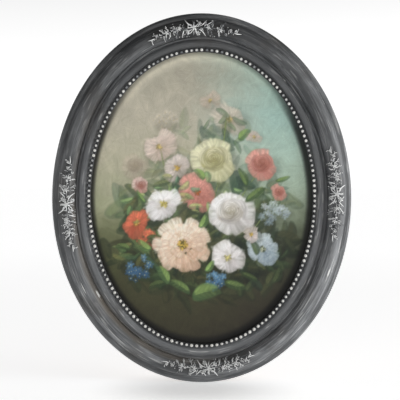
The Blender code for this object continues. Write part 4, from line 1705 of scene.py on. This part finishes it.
    @staticmethod
    def _middle_flowers() -> tuple[Flower, ...]:
        """Flowers in the depth of the bunch."""
        gold = tone(208, 172, 84)
        pink, pink_shade = tone(222, 162, 148), tone(168, 104, 92)
        coral, coral_shade = tone(222, 120, 90), tone(150, 70, 50)
        pale_blue, pale_blue_shade = tone(204, 214, 216), tone(112, 130, 142)
        blue, blue_shade, pollen = tone(96, 138, 172), tone(42, 74, 106), tone(214, 206, 150)
        return (
            Flower(Bloom.ROSE, (82.0, 46.0), 24.0, pink, pink_shade, coral_shade, 0.85, 0.8, 0.5, 0.8),
            Flower(Bloom.OPEN, (-34.0, 42.0), 21.0, tone(224, 212, 204), tone(150, 138, 126), gold, 0.85,
                   0.72, 0.2, 2.2),
            Flower(Bloom.ROSE, (16.0, 52.0), 32.0, tone(228, 224, 190), tone(168, 166, 120),
                   tone(176, 166, 96), 1.0, 0.9, 0.2),
            Flower(Bloom.DOUBLE, (-6.0, 8.0), 28.0, pink, pink_shade, tone(196, 96, 52), 0.8, 0.86, 0.1),
            Flower(Bloom.OPEN, (-90.0, -34.0), 23.0, coral, coral_shade, gold, 0.92, 0.70, 0.6, 2.6),
            Flower(Bloom.CLUSTER, (-74.0, -58.0), 14.0, coral, coral_shade, gold, 0.85),
            Flower(Bloom.CLUSTER, (100.0, -22.0), 19.0, pale_blue, pale_blue_shade,
                   tone(150, 150, 120), 0.75),
            Flower(Bloom.DOUBLE, (84.0, -70.0), 27.0, pale_blue, pale_blue_shade, tone(170, 176, 150), 0.9,
                   0.78, 0.3, 0.7),
            Flower(Bloom.CLUSTER, (-88.0, -96.0), 19.0, blue, blue_shade, pollen, 0.9),
            Flower(Bloom.CLUSTER, (20.0, -114.0), 13.0, blue * 1.15, blue_shade * 1.2, pollen, 0.8),
            Flower(Bloom.ROSE, (106.0, 8.0), 12.0, pink, pink_shade, coral_shade, 0.7, 0.8, 0.2),
            Flower(Bloom.ROSE, (-84.0, 18.0), 13.0, tone(226, 204, 194), pink_shade, coral_shade,
                   0.75, 0.8, 0.9),
        )

    @staticmethod
    def _near_flowers() -> tuple[Flower, ...]:
        """The brightest flowers, in front."""
        white, grey = tone(255, 253, 250) * 1.05, tone(178, 170, 170)
        gold = tone(214, 178, 84)
        return (
            Flower(Bloom.OPEN, (-52.0, -8.0), 27.0, white, grey, tone(196, 180, 96), 1.0, 0.78, 0.4, 2.3),
            Flower(Bloom.OPEN, (68.0, -50.0), 14.0, tone(232, 214, 204), grey, gold, 0.95, 0.72, 0.1, 0.4),
            Flower(Bloom.DOUBLE, (-26.0, -64.0), 42.0, tone(255, 235, 212), tone(196, 152, 124), gold, 1.0,
                   0.90, 0.2, 1.8),
            Flower(Bloom.ROSE, (40.0, -20.0), 34.0, white, tone(170, 164, 160), tone(204, 190, 150), 1.0,
                   0.88, 0.1, 0.9),
            Flower(Bloom.OPEN, (36.0, -82.0), 25.0, tone(250, 246, 242), grey, tone(196, 186, 120), 1.0,
                   0.76, 0.9, 1.1),
        )

    def paint(self) -> Canvas:
        """Paints the whole picture, from the ground to the nearest flowers and leaves.

        Returns:
            The finished canvas.
        """
        self._paint_ground()
        self._scatter(Leaves(70, (4.0, 60.0), (74.0, 66.0), 26.0, 1.22, 0.26))
        self._scatter(Leaves(70, (0.0, 0.0), (128.0, 44.0), 32.0, 0.90, 0.42))
        self._scatter(Leaves(170, (0.0, -66.0), (134.0, 58.0), 32.0, 0.50, 0.55))
        self._scatter(Leaves(46, (-14.0, -116.0), (84.0, 34.0), 32.0, 0.84, 0.5))
        for flower in self._far_flowers():
            self._draw(flower)
        self._scatter(Leaves(16, (30.0, 84.0), (36.0, 40.0), 24.0, 0.95, 0.5))
        green = tone(132, 152, 90)
        for start, end, bend in (
            ((14.0, -30.0), (36.0, 108.0), 0.8),
            ((40.0, -20.0), (86.0, 50.0), -1.2),
            ((-26.0, -50.0), (-58.0, 62.0), -0.8),
            ((60.0, -60.0), (104.0, 4.0), 1.0),
            ((-20.0, -100.0), (-94.0, -30.0), 1.1),
        ):
            self._stem(start, end, green, bend)
        self._scatter(Leaves(44, (0.0, -20.0), (112.0, 50.0), 28.0, 0.78, 0.72))
        self._scatter(Leaves(34, (0.0, -84.0), (108.0, 46.0), 26.0, 0.95, 0.72))
        self._scatter(Leaves(28, (-82.0, -76.0), (38.0, 44.0), 22.0, 1.35, 0.66))
        self._scatter(Leaves(22, (86.0, -92.0), (32.0, 36.0), 22.0, 1.10, 0.60))
        for flower in self._middle_flowers():
            self._draw(flower)
        self._scatter(Leaves(40, (-16.0, -10.0), (92.0, 46.0), 16.0, 1.60, 0.62))
        self._scatter(Leaves(18, (0.0, -72.0), (96.0, 44.0), 20.0, 0.90, 0.75))
        for flower in self._near_flowers():
            self._draw(flower)
        lit = tone(136, 162, 92)
        for spot, way, size, light in (
            ((6.0, -128.0), 0.2, 42.0, 0.95), ((-30.0, -120.0), 2.7, 36.0, 0.86),
            ((-52.0, -104.0), 2.2, 30.0, 1.0), ((46.0, -120.0), -0.3, 32.0, 0.78),
            ((74.0, 6.0), 0.6, 34.0, 0.82), ((58.0, 30.0), 2.0, 28.0, 0.80),
            ((-80.0, -66.0), 2.5, 24.0, 1.05), ((4.0, -32.0), 1.1, 22.0, 1.1),
            ((-108.0, -66.0), 3.0, 22.0, 0.8), ((66.0, -108.0), -0.5, 28.0, 0.6),
            ((-62.0, -118.0), 3.5, 26.0, 0.62), ((-2.0, 34.0), 2.4, 20.0, 1.1),
            ((12.0, -94.0), 0.9, 20.0, 1.15), ((-84.0, 2.0), 2.2, 22.0, 1.0),
            ((58.0, 88.0), 0.7, 22.0, 1.0), ((112.0, 26.0), 0.3, 22.0, 0.9),
        ):
            self._leaf(spot, way, size, lit * light, 0.92)
        return self.canvas


@dataclass(frozen=True)
class PaintedPanel:
    """The canvas-covered board with the picture on its front."""

    out: float = 0.0060
    front: float = 0.0087
    thickness: float = 0.0032
    cells: int = 296
    relief: float = 0.00012

    @staticmethod
    def _edge_shade(rim: Array, angle: Array) -> Array:
        """How much darker the picture is by the sight edge.

        Sides and foot share one band that fades inwards, wider on the right. The top has a thin
        dark band in a broader light one. Each band is a smooth step.

        Args:
            rim: The place's share of the way out to the sight edge.
            angle: Its angle round the oval.

        Returns:
            The share of its light that a place loses.
        """
        inwards = (1.0 - rim) * OVAL.mean_radius
        top = smooth((np.sin(angle) - 0.40) / 0.5)
        start = 0.0025 + 0.0018 * np.cos(angle)
        below = 0.74 * (1.0 - top) * (1.0 - smooth((inwards - start) / 0.0085))
        light = 0.20 * top * (1.0 - smooth((inwards - 0.003) / 0.0140))
        return below - light + 0.30 * top * (1.0 - smooth(inwards / 0.0065))

    def build(self, material: bpy.types.Material) -> bpy.types.Object:
        """Lays the picture on a fine oval grid and closes it with an edge and a flat back.

        A square grid (s, t) from -1 to 1 becomes the oval by x = s sqrt(1 - t * t / 2) and
        z = t sqrt(1 - s * s / 2).

        Args:
            material: The oil paint.

        Returns:
            The panel.
        """
        canvas = FlowerPicture().paint()
        LOG.info("picture: %d strokes", canvas.strokes)
        line = np.linspace(-1.0, 1.0, self.cells + 1)
        s, t = np.meshgrid(line, line)
        x = (OVAL.half_width + self.out) * s * np.sqrt(1.0 - t * t / 2.0)
        z = (OVAL.half_height + self.out) * t * np.sqrt(1.0 - s * s / 2.0)
        on_canvas = (PER_METRE * x, PER_METRE * z)
        rim = np.hypot(x / OVAL.half_width, z / OVAL.half_height)
        angle = np.arctan2(z / OVAL.half_height, x / OVAL.half_width)
        colour = canvas.read(canvas.colour, *on_canvas) * (1.0 - self._edge_shade(rim, angle)[..., None])
        thick = canvas.read(canvas.relief, *on_canvas)
        height = self.front - self.relief * (1.0 - thick * smooth((1.03 - rim) / 0.03))
        place = np.stack((x, -height, OVAL.centre_z + z), axis=-1)
        values = {
            "paint": np.concatenate((as_light(colour), np.ones((*x.shape, 1))), axis=-1),
            "relief": thick,
            "stroke_place": canvas.nearest(canvas.lay, *on_canvas) / PER_METRE,
            "bare": np.zeros(x.shape),
        }
        draft = Draft("painted_canvas_board")
        numbers = draft.add_points(place, values)
        draft.add_grid(numbers)
        ring = np.concatenate(
            (numbers[0, :-1], numbers[:-1, -1], numbers[-1, :0:-1], numbers[:0:-1, 0])
        )
        outer = place.reshape(-1, 3)[ring]
        low = outer * (1.0, 0.0, 1.0) + (0.0, -(self.front - self.thickness), 0.0)
        under = draft.add_points(low, {"bare": np.ones(len(low))})
        draft.add_grid(np.stack((ring, under)), wrap_columns=True)
        draft.faces.append(under[None])
        return draft.build(material, 30.0)


@dataclass(frozen=True)
class BackingBoard:
    """The fibre board behind the panel."""

    out: float = 0.0060
    front: float = 0.0052
    thickness: float = 0.0025
    ease: float = 0.0003
    stations: int = 240

    def build(self, material: bpy.types.Material) -> bpy.types.Object:
        """Makes an oval plate with slightly eased edges.

        Args:
            material: The fibre board finish.

        Returns:
            The board.
        """
        back = self.front - self.thickness
        profile = np.array(
            (
                (self.out - self.ease, self.front),
                (self.out, self.front - self.ease),
                (self.out, back + self.ease),
                (self.out - self.ease, back),
            )
        )
        points = OVAL.place(circle(self.stations)[None, :], profile[:, :1], profile[:, 1:])
        draft = Draft("backing_board_sheet")
        numbers = draft.add_points(points)
        draft.add_grid(numbers, wrap_columns=True)
        draft.faces.extend((numbers[:1], numbers[-1:]))
        return draft.build(material, 30.0)


@dataclass(frozen=True)
class Studio:
    """Pale floor, soft light and the camera at the photo's viewing angle."""

    floor_z: float = -0.4838
    distance: float = 1.60
    seen_width: float = 0.5482
    elevation: float = 1.0
    shift: tuple[float, float, float] = (-0.0023, -0.012, -0.0024)
    near_glow: float = 0.76
    far_glow: float = 0.84
    foot_shade: float = 0.44
    foot_stretch: tuple[float, float, float] = (6.4, 7.0, 0.0)
    foot_offset: tuple[float, float, float] = (0.05, 0.42, 0.0)
    sky: float = 1.09
    sky_right: float = 0.14
    sky_front_right: float = 0.50
    lights: tuple = (
        ("soft_light_right", (2.3, -0.8, -0.20), 1.2, 60.0),
        ("soft_light_left", (-2.2, -1.3, -0.20), 1.4, 15.0),
    )

    @property
    def middle(self) -> Vector:
        """The middle of the picture."""
        return Vector((0.0, 0.0, OVAL.centre_z))

    @staticmethod
    def _set_up(name: str, data: bpy.types.ID, place: Vector, target: Vector) -> bpy.types.Object:
        """Puts a camera or a light at a place, turned to look at a target.

        Args:
            name: Its name.
            data: The camera or the light.
            place: Where it stands.
            target: What it looks at.

        Returns:
            The object, linked to the scene.
        """
        thing = bpy.data.objects.new(name, data)
        bpy.context.scene.collection.objects.link(thing)
        thing.location = place
        thing.rotation_mode = "QUATERNION"
        thing.rotation_quaternion = (target - place).to_track_quat("-Z", "Y")
        return thing

    def add_camera(self) -> None:
        """Looks along +Y and slightly down at the middle of the picture."""
        data = bpy.data.cameras.new("camera")
        data.lens = data.sensor_width * self.distance / self.seen_width
        target = self.middle + Vector(self.shift)
        rise = self.distance * math.tan(math.radians(self.elevation))
        place = target + Vector((0.0, -self.distance, rise))
        bpy.context.scene.camera = self._set_up("camera", data, place, target)

    def _glow(self, nodes: Nodes) -> bpy.types.NodeSocket:
        """The floor's own light: more the farther off it is, less in an oval about the foot."""
        place = nodes.place()
        greys = [(grey, grey, grey, 1.0) for grey in (self.near_glow, self.far_glow)]
        glow = nodes.mix(nodes.length(place).step(0.6, 3.5), *greys)
        foot = nodes.add("ShaderNodeVectorMath", {"operation": "MULTIPLY_ADD"},
                         {0: place, 1: self.foot_stretch, 2: self.foot_offset}).outputs[0]
        shade = self.foot_shade * (1.0 - nodes.length(foot).step(0.1, 1.0))
        return nodes.mix(shade, glow, (0.0, 0.0, 0.0, 1.0))

    def add_floor(self) -> None:
        """Lays a large pale floor just under the frame."""
        nodes = Nodes(bpy.data.materials.new("pale_floor"))
        cloud = nodes.noise(nodes.place(), 3.0, 2.0)
        material = nodes.surface(
            {
                "Base Color": nodes.mix(cloud, (0.86, 0.86, 0.86, 1.0), (0.89, 0.89, 0.89, 1.0)),
                "Roughness": 0.9,
                "Emission Color": self._glow(nodes),
                "Emission Strength": 1.0,
            }
        )
        draft = Draft("floor")
        line = np.linspace(-40.0, 40.0, 9)
        x, y = np.meshgrid(line, line)
        draft.add_grid(draft.add_points(np.stack((x, y, np.full_like(x, self.floor_z)), axis=-1)))
        floor = draft.build(material)
        if floor.data.polygons[0].normal.z < 0:
            floor.data.flip_normals()

    def add_world(self) -> None:
        """Surrounds the scene with light that is bright level and low, and dim overhead."""
        world = bpy.data.worlds.new("studio")
        bpy.context.scene.world = world
        nodes = Nodes(world)
        side, behind, up = nodes.axes(nodes.add("ShaderNodeTexCoord").outputs["Generated"])
        front = (0.0 - behind).step(0.0, 0.6)
        aside = (self.sky_right + self.sky_front_right * front) * side
        strength = self.sky - up.step(0.06, 0.42) + aside
        light = {"Color": (1.0, 1.0, 1.0, 1.0), "Strength": strength}
        shader = nodes.add("ShaderNodeBackground", {}, light)
        nodes.add("ShaderNodeOutputWorld", {}, {"Surface": shader.outputs[0]})

    def add_light(self, name: str, place: tuple[float, float, float], size: float, power: float) -> None:
        """Adds a soft square light that faces the picture.

        Args:
            name: What it's called.
            place: Where it stands, from the middle of the picture.
            size: The side of its square.
            power: Its power in watts.
        """
        data = bpy.data.lights.new(name, "AREA")
        data.shape = "SQUARE"
        data.size = size
        data.energy = power
        self._set_up(name, data, self.middle + Vector(place), self.middle)

    def build(self) -> None:
        """Sets up floor, light and camera, and shows light amounts as they are."""
        bpy.context.scene.view_settings.view_transform = "Standard"
        self.add_floor()
        self.add_world()
        for light in self.lights:
            self.add_light(*light)
        self.add_camera()


def main() -> None:
    """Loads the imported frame, builds every piece over it and sets the scene."""
    logging.basicConfig(level=logging.INFO, format="%(name)s: %(message)s")
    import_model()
    grey_paint = FramePaint().make()
    report(Moulding().build(grey_paint), ("moulding",))
    bead_paint = BrushedCasting("bead_paint_brushed", white=paint_colour(214, 213, 207), white_from=0.36)
    report(BeadString().build(bead_paint.make()), ("bead_string",))
    spray_paint = BrushedCasting("spray_paint_brushed", spread=0.2).make()
    for side in Side:
        piece = Spray(side).build(spray_paint)
        report(piece, (f"spray_{side.name.lower()}",))
    report(PaintedPanel().build(OilPaint().make()), ("painted_panel",))
    report(BackingBoard().build(FibreBoard().make()), ("backing_board",))
    zinc = ZincSteel().make()
    for name in ("toothed_hanger", "hanger_nail_left", "hanger_nail_right"):
        dress_solid(name, zinc)
    for index in range(6):
        dress_solid(f"steel_point_{index + 1}", zinc)
    Studio().build()


if __name__ == "__main__":
    main()
